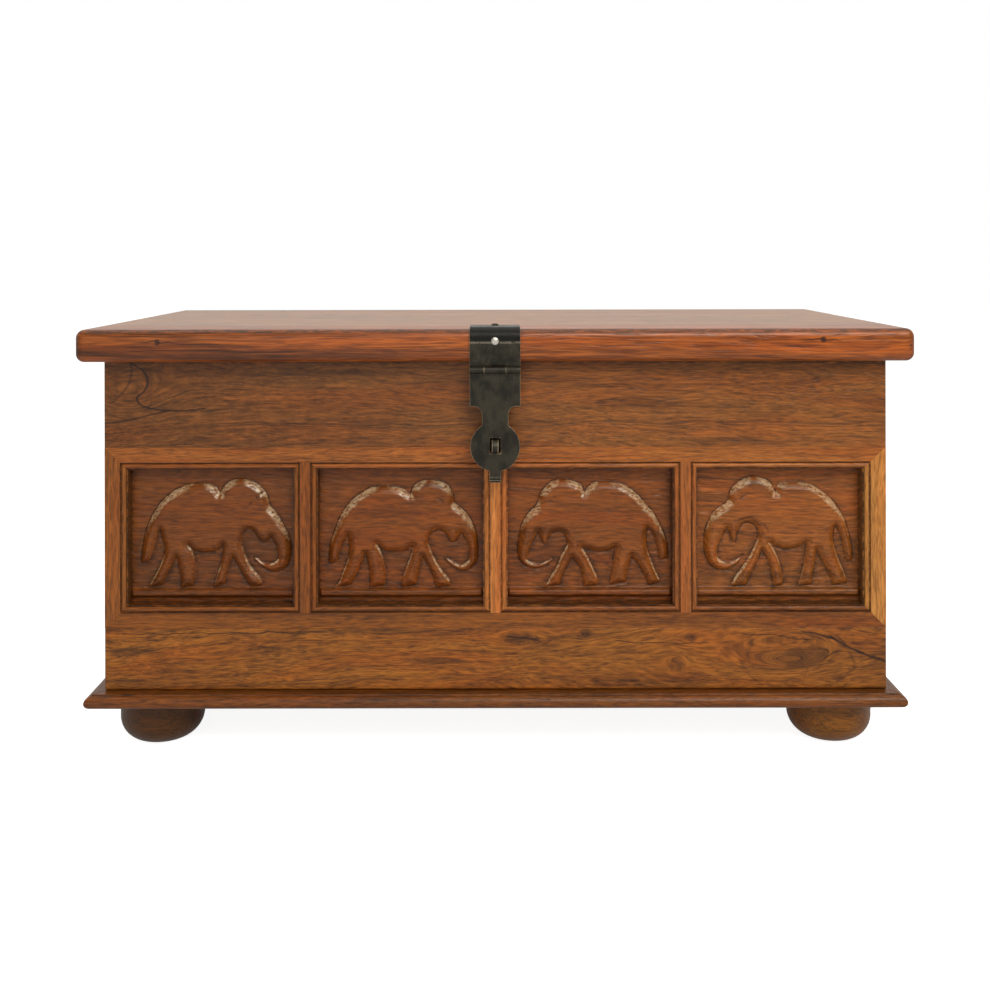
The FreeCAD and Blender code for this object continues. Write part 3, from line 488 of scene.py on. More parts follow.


# Carved panels: four boards held in the frame's grooves, each with an elephant left standing above
# a chiselled ground on a ledge. Its edges are rounded over and carry a painted highlight where they
# face up; dark wax and painted shade fill the hollows.
outlines = [
    [
        [(7.5, 46), (12, 54), (19.5, 59.5), (30.5, 62), (40.5, 60), (49, 55), (54.5, 50.5),
         (59, 44), (61.5, 36.5), (63.5, 30.5), (70, 23), (77.5, 10.5), (83.5, -1.5), (86, -14),
         (84.5, -26.5), (81, -35), (72.5, -40.5), (62.5, -40.5), (52.5, -35), (44, -27.5)],
        [(44, -27.5), (45, -25), (49, -26.5)],
        [(49, -26.5), (55, -31.5), (63.5, -31.5), (70, -27.5), (70.5, -19), (67.5, -10.5),
         (63.5, -2.5)],
        [(63.5, -2.5), (62, -5.5), (59, -7.5), (55, -8.5), (50, -5.5), (46.5, -0.5)],
        [(46.5, -0.5), (43, 4.5), (36.5, 5.5), (33, 1), (31.5, -6.5), (33, -14), (36.5, -25),
         (43, -37.5), (51.5, -47.5), (55.5, -58)],
        [(40.5, -58), (31.5, -42.5), (21, -25)],
        [(21, -25), (16, -38.5), (13, -58)],
        [(-0.5, -58), (3.5, -43.5), (8, -30), (10.5, -11.5)],
        [(10.5, -11.5), (4.5, -17.5), (-5.5, -20), (-16.5, -19), (-24, -15.5), (-27.5, -11)],
        [(-27.5, -11), (-22.5, -19), (-19.5, -31.5), (-19.5, -43.5), (-22.5, -59)],
        [(-36, -59), (-37.5, -41), (-41, -25)],
        [(-41, -25), (-48.5, -40), (-57, -59)],
        [(-73, -59), (-70, -53.5), (-62, -38.5), (-56, -25), (-54, -14), (-57, -4), (-59, 5.5)],
        [(-59, 5.5), (-63.5, -9), (-67, -21.5), (-71.5, -30.5)],
        [(-79.5, -31.5), (-79.5, -25), (-78, -11.5), (-75.5, 1), (-70.5, 15.5), (-64.5, 26.5),
         (-56, 38), (-45, 47.5), (-32.5, 54), (-20, 56.5), (-8, 56.5), (2, 53), (7.5, 46)],
    ],
    [
        [(10, 44), (12.5, 51.5), (18.5, 57.5), (28.5, 60.5), (38.5, 59.5), (48.5, 56.5), (54.5, 50),
         (58, 41.5), (59.5, 34), (67, 28), (75.5, 18), (81.5, 5.5), (84, -6.5), (84.5, -19),
         (83, -30), (75.5, -38.5), (65.5, -40.5), (55.5, -35.5), (48.5, -29)],
        [(48.5, -29), (50, -26.5), (55, -29)],
        [(55, -29), (64.5, -34), (73, -29), (74, -19), (72.5, -9), (65.5, 2)],
        [(65.5, 2), (63.5, -3), (59.5, -8), (54.5, -8.5), (51, -4), (48.5, 1)],
        [(48.5, 1), (42, 4.5), (36, 2.5), (30, -4), (32.5, -16.5), (39.5, -31.5), (47, -42.5),
         (53, -50), (55.5, -59)],
        [(38.5, -59), (32.5, -41), (23.5, -25)],
        [(23.5, -25), (19.5, -41), (16, -59)],
        [(-1, -59), (0, -51), (4, -37.5), (9, -25), (12.5, -13)],
        [(12.5, -13), (4, -18.5), (-6, -19.5), (-16, -19), (-22, -15.5), (-27, -10.5)],
        [(-27, -10.5), (-22, -19), (-18.5, -31.5), (-17, -43.5), (-18.5, -59.5)],
        [(-35.5, -59.5), (-35.5, -41), (-39.5, -21.5)],
        [(-39.5, -21.5), (-46.5, -40), (-58, -59.5)],
        [(-76.5, -59.5), (-70, -53.5), (-64, -38.5), (-59, -25), (-58, -14), (-59, -0.5)],
        [(-59, -0.5), (-65, -11.5), (-68.5, -24), (-71, -32)],
        [(-80, -32), (-80, -25), (-79, -11.5), (-75, 1), (-71.5, 10.5), (-66.5, 21.5), (-58, 34),
         (-45.5, 45), (-33, 52), (-21, 54), (-8.5, 53), (1.5, 50), (10, 44)],
    ],
    [
        [(-5, 46.5), (-1.5, 52), (5.5, 57), (15.5, 58), (28, 57), (40, 53), (52.5, 44),
         (63.5, 31.5), (72.5, 20.5), (79.5, 7), (84.5, -5.5), (86.5, -17.5), (87, -29)],
        [(78, -29), (76, -22.5), (73.5, -11.5), (70, -0.5), (64.5, 7)],
        [(64.5, 7), (63, -4), (64.5, -16.5), (68.5, -29), (73.5, -41), (80.5, -56.5)],
        [(65, -56.5), (56.5, -38.5), (46.5, -25)],
        [(46.5, -25), (42.5, -41), (40, -56)],
        [(21.5, -56), (23.5, -43.5), (26, -29), (28.5, -14.5)],
        [(28.5, -14.5), (20.5, -18.5), (9.5, -19.5), (-0.5, -17.5), (-8, -14.5)],
        [(-8, -14.5), (-1.5, -25), (4.5, -37.5), (9.5, -48.5), (10.5, -58)],
        [(-6.5, -58), (-8, -48.5), (-11.5, -35), (-19.5, -26)],
        [(-19.5, -26), (-24, -35), (-29, -45), (-32.5, -59)],
        [(-50, -59), (-42.5, -46), (-36, -35), (-31.5, -24), (-25, -11.5), (-26, -5.5), (-29, 1),
         (-32.5, 3), (-40, 1), (-45, -5.5), (-46.5, -11.5)],
        [(-46.5, -11.5), (-50.5, -11), (-53.5, -5.5), (-56.5, 2.5)],
        [(-56.5, 2.5), (-62, -9), (-66, -19), (-68.5, -27.5), (-63.5, -31.5), (-53.5, -32.5),
         (-43.5, -28)],
        [(-43.5, -28), (-39.5, -26.5), (-41, -30)],
        [(-41, -30), (-47.5, -35), (-56, -37.5), (-63.5, -37.5), (-72, -34), (-78, -26.5),
         (-79.5, -16.5), (-78, -4), (-75, 9.5), (-68.5, 21.5), (-59.5, 30.5), (-56, 38),
         (-54.5, 44), (-50, 50), (-43.5, 56.5), (-35, 60.5), (-25, 60.5), (-16.5, 58), (-9, 54),
         (-5, 46.5)],
    ],
    [
        [(-54, 37), (-53, 44), (-48.5, 52), (-41, 58.5), (-31, 63), (-21, 63), (-11, 59),
         (-5, 52.5), (-2, 46)],
        [(-2, 46), (0.5, 53.5), (6.5, 56.5), (16, 57.5), (27, 56.5), (39.5, 53), (50.5, 46),
         (60.5, 37), (67.5, 28), (74, 17), (77.5, 5.5), (80.5, -5.5), (82.5, -16.5), (83, -25),
         (82.5, -29.5)],
        [(82.5, -29.5), (79, -30.5), (75.5, -29.5)],
        [(75.5, -29.5), (73, -19), (70.5, -6.5), (67.5, 3), (64.5, 9)],
        [(64.5, 9), (62.5, 4.5), (62, -6.5), (65, -19), (69.5, -31.5), (74.5, -43.5), (78, -57)],
        [(61, -57), (58, -48.5), (51.5, -35), (46, -25), (43.5, -17)],
        [(43.5, -17), (42.5, -29), (40.5, -38.5), (39, -48.5), (37.5, -58)],
        [(22, -58), (26, -43.5), (29, -31.5), (31, -19), (31.5, -10)],
        [(31.5, -10), (27, -13), (19.5, -16), (9.5, -17.5), (1, -15.5), (-5, -12), (-8.5, -9.5)],
        [(-8.5, -9.5), (-3, -17.5), (1.5, -27.5), (4.5, -37.5), (6.5, -48.5), (7, -58.5)],
        [(-4.5, -58.5), (-7, -43.5), (-10.5, -30), (-17, -17.5)],
        [(-17, -17.5), (-21, -29), (-26.5, -40.5), (-31.5, -51), (-34.5, -58)],
        [(-52, -58), (-47.5, -48.5), (-39.5, -37.5), (-33.5, -29), (-28, -19), (-23, -8),
         (-21.5, -0.5)],
        [(-21.5, -0.5), (-22.5, 5.5), (-26.5, 10.5), (-33, 12.5), (-39, 10), (-43, 3), (-45, -4),
         (-46.5, -9.5)],
        [(-46.5, -9.5), (-49.5, -8), (-52, -3), (-55, 7)],
        [(-55, 7), (-60, -3), (-64, -11.5), (-66, -19), (-65, -26), (-61, -30), (-55, -31.5),
         (-48.5, -30.5), (-42.5, -27), (-38, -23.5)],
        [(-38, -23.5), (-43, -32), (-50.5, -37.5), (-59.5, -40), (-68, -38.5), (-75.5, -32.5),
         (-79.5, -22.5), (-81, -13), (-80.5, -1.5), (-77.5, 9.5), (-72.5, 20.5), (-65.5, 28),
         (-59.5, 32), (-54, 37)],
    ],
]
opening_width, opening_height = 0.180, 0.148
carving_height, edge_round = 0.006, 0.0085
ledge_height, ledge_round = 0.0050, 0.0028
border_slope = 0.0012


def smooth_run(points, steps=5):
    """A Catmull-Rom curve: each span is the cubic whose slope at a point is half the step between
    that point's neighbours. The last point is left to the next run."""
    points = np.array(points)
    ends = np.vstack([2 * points[0] - points[1], points, 2 * points[-1] - points[-2]])
    before, start, stop, after = ends[:-3], ends[1:-2], ends[2:-1], ends[3:]
    t = (np.arange(steps) / steps)[:, None, None]
    curve = start + 0.5 * t * ((stop - before) + t * (2 * before - 5 * start + 4 * stop - after)
                               + t * t * (3 * start - before - 3 * stop + after))
    return np.swapaxes(curve, 0, 1).reshape(-1, 2)


def distance_to(x, z, line):
    """The shortest distance from every grid point to a line of straight pieces."""
    nearest = np.full(x.shape, 1.0)
    for (ax, az), (bx, bz) in zip(line[:-1], line[1:]):
        dx, dz = bx - ax, bz - az
        share = np.clip(((x - ax) * dx + (z - az) * dz) / (dx * dx + dz * dz + 1e-12), 0, 1)
        nearest = np.minimum(nearest, np.hypot(x - ax - share * dx, z - az - share * dz))
    return nearest


def inside(x, z, line):
    """True at every grid point from which a ray to the right crosses the closed line an odd
    number of times."""
    odd = np.zeros(x.shape, dtype=bool)
    for (ax, az), (bx, bz) in zip(line[:-1], line[1:]):
        if az != bz:
            crosses = (az > z) != (bz > z)
            odd ^= crosses & (x < ax + (z - az) * (bx - ax) / (bz - az))
    return odd


def softened(height, times):
    """The height with each point taken half from itself and a quarter from each neighbour."""
    for _ in range(times):
        padded = np.pad(height, 1, mode="edge")
        height = (padded[:-2, 1:-1] + 2 * padded[1:-1, 1:-1] + padded[2:, 1:-1]) / 4
        padded = np.pad(height, 1, mode="edge")
        height = (padded[1:-1, :-2] + 2 * padded[1:-1, 1:-1] + padded[1:-1, 2:]) / 4
    return height


def chiselled(x, z, seed):
    """Long low ripples from a gouge: a sum of plane waves, most of them running left to right."""
    random = np.random.default_rng(seed)
    height, waves = np.zeros(x.shape), 14
    for _ in range(waves):
        wavelength = random.uniform(0.004, 0.013)
        tilt = random.normal(0, 0.22)
        phase = random.uniform(0, 2 * math.pi)
        height += np.sin(2 * math.pi * (z + tilt * x) / wavelength + phase
                         + 1.4 * np.sin(x * random.uniform(20, 70) + phase))
    return height / waves


def carved(x, z, outline, strokes, seed):
    """Height above the ground, with a mask of dark wax and painted shade and a mask of painted
    highlight. The figure rises from its outline by one minus the remaining share to the power 1.5,
    and strokes are cuts that fade with distance."""
    closed = np.vstack([outline, outline[:1]])
    reach = distance_to(x, z, closed) * np.where(inside(x, z, closed), 1, -1)
    rise = np.clip(reach / edge_round, 0, 1)
    figure = carving_height * (1 - (1 - rise) ** 1.5)
    figure = figure + 0.0007 * chiselled(x * 0.6, z * 0.45, seed) * rise
    ledge_reach = np.minimum(ledge_top - z, z - ledge_foot)
    ledge_rise = np.clip(ledge_reach / ledge_round, 0, 1)
    ledge = ledge_height * (1 - (1 - ledge_rise) ** 2)
    ground = 0.0010 * chiselled(x, z, seed + 50) - 0.0009 * np.exp(-(reach / 0.0016) ** 2)
    height = np.maximum(np.where(reach > 0, figure, 0), ledge)
    height = height + np.where(height > 0.0006, 0, ground)
    cuts = np.zeros(x.shape)
    for line, width, depth in strokes:
        away = distance_to(x, z, smooth_run(line) if len(line) > 2 else np.array(line))
        cut = np.exp(-(away / width) ** 2)
        height -= depth * cut
        cuts = np.maximum(cuts, cut)
    border = np.minimum(opening_width / 2 - abs(x), opening_height / 2 - abs(z))
    height = softened(height * np.clip(border / border_slope, 0, 1), 2)
    # Dark wax and painted shade in the cut round the outline and in the strokes; painted shade on
    # the ground beside the figure, lower down, along the opening's border and under the ledge.
    wax_and_shade = np.maximum(np.exp(-((reach + 0.0003) / 0.0009) ** 2), 0.7 * cuts)
    wax_and_shade = np.maximum(wax_and_shade, np.where(reach < 0, 0.35 * np.exp(reach / 0.004), 0))
    low_down = np.clip((0.012 - z) / 0.02, 0, 1)
    wax_and_shade = np.maximum(wax_and_shade, np.where(reach < 0, 0.75 * low_down * np.exp(reach / 0.009), 0))
    wax_and_shade = np.maximum(wax_and_shade, 0.8 * np.exp(-np.clip(border, 0, 1) / 0.0022))
    wax_and_shade = np.maximum(wax_and_shade, np.where(z < ledge_foot + 0.0008, 0.12, 0))
    # Painted highlight: strongest where the slope faces up and to a side, in a band just inside the
    # outline, wider higher up.
    slope_z, slope_x = np.gradient(height, z[1, 0] - z[0, 0])
    sideways = abs(slope_x) / (np.hypot(slope_x, slope_z) + 1e-6)
    painted_highlight = np.clip(-slope_z, 0, 1) * np.clip(0.15 + 1.3 * sideways, 0, 1)
    band = 0.0032 + 0.0055 * np.clip(0.4 + z / 0.02, 0, 1)
    painted_highlight = painted_highlight * np.clip(reach / 0.0008, 0, 1) * np.clip((band - reach) / 0.001, 0, 1)
    return height, wax_and_shade, painted_highlight


def carved_board(name, middle, heights, wax_and_shade, painted_highlight, x, z):
    """The grid of heights as the front of a board: its border is carried straight back and the
    back is closed from its middle."""
    low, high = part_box(name)
    ground_y = low.y + carving_height
    rows, columns = x.shape
    front = np.stack([x + middle[0], ground_y - heights, z + middle[1]], axis=-1).reshape(-1, 3)
    index = np.arange(rows * columns).reshape(rows, columns)
    ring = np.concatenate([index[0, :-1], index[:-1, -1], index[-1, :0:-1], index[:0:-1, 0]])
    back = front[ring].copy()
    back[:, 1] = high.y
    points = np.vstack([front, back, back.mean(axis=0)])
    quads = np.stack([index[:-1, :-1], index[:-1, 1:], index[1:, 1:], index[1:, :-1]], axis=-1)
    behind = np.arange(len(ring)) + rows * columns
    sides = np.stack([ring, behind, np.roll(behind, -1), np.roll(ring, -1)], axis=-1)
    fan = np.stack([np.full(len(ring), len(points) - 1), np.roll(behind, -1), behind], axis=-1)
    mesh = bpy.data.meshes.new(name + "_carved")
    mesh.from_pydata(points.tolist(), [], quads.reshape(-1, 4).tolist() + sides.tolist()
                     + fan.tolist())
    smooth = np.zeros(len(mesh.polygons), dtype=bool)
    smooth[:(rows - 1) * (columns - 1)] = True
    mesh.polygons.foreach_set("use_smooth", smooth)
    rest = np.zeros(len(points) - rows * columns)
    for label, values in (("wax_and_shade", wax_and_shade), ("painted_highlight", painted_highlight)):
        layer = mesh.attributes.new(label, "FLOAT", "POINT")
        layer.data.foreach_set("value", np.concatenate([values.reshape(-1), rest]))
    piece = placed(name + "_carved", mesh)
    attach(piece, "carcase")
    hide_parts(name)
    return piece


def wax_and_painted_shade(tree, place):
    """Dark wax and painted shade where the carving's own mask puts them."""
    return node(tree, "ShaderNodeAttribute", attribute_name="wax_and_shade").outputs["Fac"]


def painted_edge_highlight(tree, place):
    """Painted highlight where the carving's own mask says that an edge faces up, scratched along
    the grain.
    """
    given_highlight = node(tree, "ShaderNodeAttribute", attribute_name="painted_highlight").outputs["Fac"]
    scratched = eased_step(tree, noise(tree, place, (160.0, 400.0, 400.0), 3.0, 0.65), 0.35, 0.6)
    return calc(tree, "MULTIPLY", eased_step(tree, given_highlight, 0.18, 0.5), scratched)


ledge_top, ledge_foot = -0.400 * opening_height, -0.462 * opening_height
panel_woods = [("8C4C1A", "522A0C", -0.31), ("944E18", "562C0C", 0.06),
               ("98521C", "582E0E", 0.21), ("A86026", "603614", 0.47)]
strokes = [
    [([(0.0408, 0.0340), (0.0423, 0.0352)], 0.0013, 0.0010),
     ([(0.0483, 0.0410), (0.0498, 0.0422)], 0.0015, 0.0014),
     ([(0.0535, 0.0448), (0.0547, 0.0457)], 0.0013, 0.0012)],
    [([(0.0393, 0.0407), (0.0430, 0.0390), (0.0473, 0.0354)], 0.0012, 0.0010)],
    [([(-0.0388, 0.0411), (-0.0374, 0.0399)], 0.0013, 0.0011),
     ([(-0.0434, 0.0373), (-0.0418, 0.0359)], 0.0013, 0.0011)],
    [([(-0.0405, 0.0405), (-0.0372, 0.0424)], 0.0016, 0.0012),
     ([(-0.0352, 0.0442), (-0.0336, 0.0452)], 0.0012, 0.0010),
     ([(-0.0477, 0.0153), (-0.0370, 0.0167), (-0.0263, 0.0200)], 0.0012, 0.0011),
     ([(-0.0152, 0.0101), (-0.0128, 0.0062), (-0.0104, 0.0021)], 0.0012, 0.0009)]]
for number, (light, dark, pith) in enumerate(panel_woods):
    name = "carved_panel_" + str(number + 1)
    low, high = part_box(name)
    across = np.linspace(low.x, high.x, 262) - (low.x + high.x) / 2
    up = np.linspace(low.z, high.z, 219) - (low.z + high.z) / 2
    x, z = np.meshgrid(across, up)
    outline = np.vstack([smooth_run(np.array(run) / 1000) for run in outlines[number]])
    heights, wax_and_shade, painted_highlight = carved(x, z, outline, strokes[number], 7 + number)
    board = carved_board(name, ((low.x + high.x) / 2, (low.z + high.z) / 2), heights, wax_and_shade,
                         painted_highlight, x, z)
    board.data.materials.append(wood(name + "_wood", light, dark, "24140B", "X",
                                     (pith, -0.16, 0.30 - 0.05 * number), (0.03, 0.02), 0.7,
                                     0.5, dirt=wax_and_painted_shade, painted_highlight=painted_edge_highlight, contrast=0.6))


# Ends and back: each end repeats the front's boards and frame, with a plain chamfer and two plain
# panels; three plain boards lap them behind. Screwed from inside, finished with less care.
end_boards = {"top_board": ("Y", 0.378), "bottom_board": ("Y", 0.100), "top_rail": ("Y", 0.318),
              "bottom_rail": ("Y", 0.146), "front_stile": ("Z", 0.232),
              "back_stile": ("Z", 0.235), "muntin": ("Z", 0.229)}
for side, sign in (("left", -1), ("right", 1)):
    for number, (part, (along, height)) in enumerate(end_boards.items()):
        light, dark = (("85532C", "4A2C18") if "board" in part else ("9C6134", "5E381E"))
        wooden(side + "_" + part, 0.0006, light, dark, "24140C", along,
               (sign * 0.39, 0.03 * number - 0.1, height + 0.01 * sign), (0.02 * sign, 0.03), 0.9,
               0.5)
    for number, part in enumerate(("front_panel", "back_panel")):
        wooden(side + "_" + part, 0.0005, "8C5229", "4F2D17", "24140B", "Z",
               (sign * 0.38, 0.15 * number - 0.07, 0.2), (0.03, 0.02 * sign), 0.9, 0.5)
back_woods = {"bottom": ("8F6034", "56361C"), "middle": ("9C6C3C", "624224"),
              "top": ("86562C", "4E3018")}
for number, (part, (light, dark)) in enumerate(back_woods.items()):
    wooden("back_" + part + "_board", 0.0010, light, dark, "2A1A10", "X",
           (0.2 * number - 0.2, 0.22, 0.12 + 0.12 * number), (0.03 - 0.02 * number, 0.02), 0.9,
           0.5, gloss=0.15)
wooden("floor_boards", 0.0007, "9A6E44", "63442A", "2A1A10", "X", (0.1, 0.0, 0.03), (0.01, 0.02),
       0.9, 0.4, gloss=0.2)

# Base moulding: four mitred strips with a half-round nose and a small step on top, nailed under
# the walls. The step is darker towards the wall.
base_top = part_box("front_base_moulding")[1].z


def on_the_step(tree, place):
    """Darker on the strip's flat top, most against the wall."""
    return eased_step(tree, axes(tree, place)["Z"], base_top - 0.0025, base_top - 0.0005, 0.0, 0.35)


for side, along, heart in (("front", "X", (0.1, -0.20, 0.03)), ("back", "X", (-0.2, 0.22, 0.04)),
                           ("left", "Y", (-0.43, 0.1, 0.03)), ("right", "Y", (0.43, 0.0, 0.04))):
    wooden(side + "_base_moulding", 0.0006, "884C1A", "4A280E", "20120A", along, heart,
           (0.01, 0.02), 0.9, 0.6, dirt=on_the_step)

# Feet: four turned hardwood buns, a short straight rim over a quarter ellipse down to a flat sole,
# screwed up into the base where its mitres meet. Each comes from its own blank.
feet_low, feet_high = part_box("feet")
foot_radius, sole_radius, rim_height, foot_height = 0.046, 0.020, 0.025, 0.051
rim_bevel = 0.0008


def surface(name, points, materials):
    """Joins rows of points, each row closed on itself, into a skin, and closes the first and last
    row from their middles. The faces are turned outwards by the sign of the volume."""
    rows, columns = points.shape[:2]
    index = np.arange(rows * columns).reshape(rows, columns)
    over = np.roll(index, -1, axis=1)
    quads = np.stack([index[:-1], over[:-1], over[1:], index[1:]], axis=-1).reshape(-1, 4)
    flat = np.vstack([points.reshape(-1, 3), points[0].mean(axis=0), points[-1].mean(axis=0)])
    first, last = rows * columns, rows * columns + 1
    fans = [np.stack([over[0], index[0], np.full(columns, first)], axis=-1),
            np.stack([index[-1], over[-1], np.full(columns, last)], axis=-1)]
    faces = quads.tolist() + fans[0].tolist() + fans[1].tolist()
    tri = np.vstack([quads[:, [0, 1, 2]], quads[:, [0, 2, 3]], *fans])
    a, b, c = (flat[tri[:, i]] for i in range(3))
    if np.einsum("ij,ij->", a, np.cross(b, c)) < 0:
        faces = [face[::-1] for face in faces]
    mesh = bpy.data.meshes.new(name)
    mesh.from_pydata(flat.tolist(), [], faces)
    mesh.polygons.foreach_set("use_smooth", np.ones(len(mesh.polygons), dtype=bool))
    mesh.set_sharp_from_angle(angle=math.radians(35))
    for material in materials:
        mesh.materials.append(material)
    return placed(name, mesh)


def turned(profile, middle, sides):
    """A profile of radius and height carried round the vertical axis through middle."""
    angle = np.linspace(0, 2 * math.pi, sides, endpoint=False)
    radii, heights = profile[:, :1], profile[:, 1:]
    level = np.broadcast_to(heights, (len(profile), sides))
    return np.stack([middle[0] + radii * np.cos(angle), middle[1] + radii * np.sin(angle), level],
                    axis=-1)


sweep = np.linspace(0, math.pi / 2, 24)
foot_profile = np.column_stack([
    sole_radius + (foot_radius - sole_radius) * np.sin(sweep),
    (foot_height - rim_height) * (1 - np.cos(sweep))])
foot_profile = np.vstack([foot_profile, [[foot_radius, foot_height - rim_bevel],
                                         [foot_radius - rim_bevel, foot_height]]])
foot_woods = {("left", "front"): ("643A10", "382006"), ("right", "front"): ("9A5E1C", "56340E"),
              ("left", "back"): ("6E4A2C", "3E2816"), ("right", "back"): ("7A5030", "452C1A")}
for number, ((side, end), (light, dark)) in enumerate(foot_woods.items()):
    x = (feet_low.x + foot_radius) if side == "left" else (feet_high.x - foot_radius)
    y = (feet_low.y + foot_radius) if end == "front" else (feet_high.y - foot_radius)
    foot = surface(side + "_" + end + "_foot", turned(foot_profile, (x, y), 72), [
        wood(side + "_" + end + "_foot_wood", light, dark, "1C110A", "X",
             (x, y + 0.02, 0.02 - 0.03 * number), (0.05, 0.05 * number), 0.9, 0.4)])
    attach(foot, "carcase")
    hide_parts("feet")

# Lid: four thick planks glued edge to edge, the outer edges rounded over by hand, with two battens
# screwed on below. Two nail holes in the front edge were filled and have split the grain.
round_over = 0.009
spot, given, out = effect("filled_hole", {"Vector": "Vector", "Middle": "Vector"},
                          {"Fill": "Float", "Crack": "Float"})
away = shifted(spot, "SUBTRACT", given["Vector"], given["Middle"])
ragged = noise(spot, given["Vector"], (400.0, 400.0, 400.0))
spread = calc(spot, "MULTIPLY_ADD", ragged, 0.002, length_of(spot, away))
spot.links.new(eased_step(spot, spread, 0.0034, 0.0050, 1.0, 0.0), out["Fill"])
parts = axes(spot, away)
drop = calc(spot, "MULTIPLY_ADD", row_noise(spot, calc(spot, "MULTIPLY", parts["X"], 90.0)), 0.006,
            calc(spot, "SUBTRACT", parts["Z"], 0.003))
thin = eased_step(spot, calc(spot, "ABSOLUTE", drop), 0.0003, 0.0011, 1.0, 0.0)
near = eased_step(spot, calc(spot, "ABSOLUTE", parts["X"]), 0.008, 0.032, 1.0, 0.0)
spot.links.new(calc(spot, "MULTIPLY", thin, near), out["Crack"])
lid_low, lid_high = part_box("lid_front_plank")


def nail_holes(tree, place):
    """The filled holes over the two battens, and the hairline cracks beside them."""
    found = []
    for middle in ((-0.3606, lid_low.y, 0.4470), (0.3506, lid_low.y, 0.4486)):
        hole = used(tree, spot, {"Vector": place, "Middle": middle})
        found += [hole["Fill"], hole["Crack"]]
    return found


def dark_rim(tree, place):
    """Darker on the front's upper rounded edge and towards the two front corners."""
    parts = axes(tree, place)
    top = eased_step(tree, parts["Z"], lid_high.z - 0.006, lid_high.z - 0.002)
    top = calc(tree, "MULTIPLY", top, eased_step(tree, parts["Y"], lid_low.y + 0.007,
                                                 lid_low.y + 0.010, 1.0, 0.0))
    sideways = calc(tree, "ABSOLUTE", parts["X"])
    end = eased_step(tree, sideways, lid_high.x - 0.014, lid_high.x, 0.0, 0.5)
    front = eased_step(tree, parts["Y"], lid_low.y + 0.006, lid_low.y + 0.012, 1.0, 0.0)
    return calc(tree, "MAXIMUM", calc(tree, "MULTIPLY", top, 0.8),
                calc(tree, "MULTIPLY", end, front))


def plank(name, round_front, round_back, materials):
    """A quarter-round section carried round the plank's plan: at each height the plan is drawn in
    from its outer edges by the radius times one minus the sine of the turn. So corners between
    two rounded sides turn into a quarter ball."""
    low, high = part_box(name)
    turn = np.linspace(0, math.pi / 2, 8)
    drawn_in, level = round_over * (1 - np.sin(turn)), round_over * (1 - np.cos(turn))
    drawn_in = np.concatenate([drawn_in, drawn_in[::-1]])
    height = np.concatenate([low.z + level, (high.z - level)[::-1]])
    plan, outward = [], []
    for sx, sy, rounded in ((-1, -1, round_front), (1, -1, round_front), (1, 1, round_back),
                            (-1, 1, round_back)):
        corner_x = high.x if sx > 0 else low.x
        corner_y = high.y if sy > 0 else low.y
        if rounded:
            bend = math.atan2(sy, sx) - math.pi / 4 + turn
            plan.append(np.column_stack([corner_x - sx * round_over + round_over * np.cos(bend),
                                         corner_y - sy * round_over + round_over * np.sin(bend)]))
            outward.append(np.column_stack([np.cos(bend), np.sin(bend)]))
        else:
            plan.append(np.array([[corner_x, corner_y]] * 2))
            outward.append(np.array([[sx, 0.0]] * 2))
    plan, outward = np.vstack(plan), np.vstack(outward)
    rows = plan[None] - outward[None] * drawn_in[:, None, None]
    points = np.concatenate([rows, np.broadcast_to(height[:, None, None],
                            (len(height), len(plan), 1))], axis=-1)
    piece = surface(name + "_finished", points, materials)
    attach(piece, "lid")
    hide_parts(name)
    return piece


lid_woods = {
    "lid_front_plank": ("B25E1C", "66300E", "2A1308", (-0.1, -0.130, 0.300), (0.01, 0.012)),
    "lid_second_plank": ("AC6E38", "603818", "2A180D", (0.2, -0.10, 0.36), (0.02, -0.01)),
    "lid_third_plank": ("AE723C", "643C1C", "2A180D", (-0.3, 0.02, 0.37), (-0.01, 0.02)),
    "lid_back_plank": ("A86A34", "5C3416", "2A180D", (0.1, 0.17, 0.35), (0.015, -0.02))}
for name, (light, dark, vein, heart, lean) in lid_woods.items():
    front = name == "lid_front_plank"
    material = wood(name + "_wood", light, dark, vein, "X", heart, lean, 1.2, 1.0, stretch=2.2,
                    specular=0.4 if front else 0.6, gloss=-0.03, contrast=0.75 if front else 0.85,
                    marks=nail_holes if front else None, dirt=dark_rim if front else None)
    plank(name, front, name == "lid_back_plank", [material])
wooden("lid_battens", 0.001, "9A6E44", "63442A", "2A1A10", "Y", (0.0, 0.0, 0.40), (0.02, 0.01),
       0.9, 0.4, gloss=0.15)

# Lid hinges: two forged butt hinges in the corner under the lid's overhang, leaves folded round a
# pin, each held by three countersunk screws a leaf. Blackened iron, rubbed bright on its edges and
# lightened there further as a painted highlight.
iron, given, out = effect("forged_iron", {"Vector": "Vector", "Base": "Color", "Rubbed": "Color",
                                          "Wear": "Float"},
                          {"Color": "Color", "Roughness": "Float", "Height": "Float"})
mottle = noise(iron, given["Vector"], (140.0, 140.0, 140.0), 4.0, 0.6)
scuffs = noise(iron, given["Vector"], (420.0, 120.0, 420.0), 3.0, 0.7)
bright = eased_step(iron, calc(iron, "MULTIPLY_ADD", scuffs, 0.6, given["Wear"]), 0.42, 0.95)
patches = eased_step(iron, noise(iron, given["Vector"], (70.0, 70.0, 45.0), 4.0, 0.6), 0.35, 0.65)
metal = mixed(iron, patches, shifted(iron, "MULTIPLY", given["Base"], (0.75, 0.75, 0.75)),
              shifted(iron, "MULTIPLY", given["Base"], (2.2, 2.2, 2.1)))
iron.links.new(mixed(iron, bright, metal, given["Rubbed"]), out["Color"])
iron.links.new(calc(iron, "MULTIPLY_ADD", mottle, 0.40, 0.22), out["Roughness"])
iron.links.new(calc(iron, "ADD", mottle, scuffs), out["Height"])


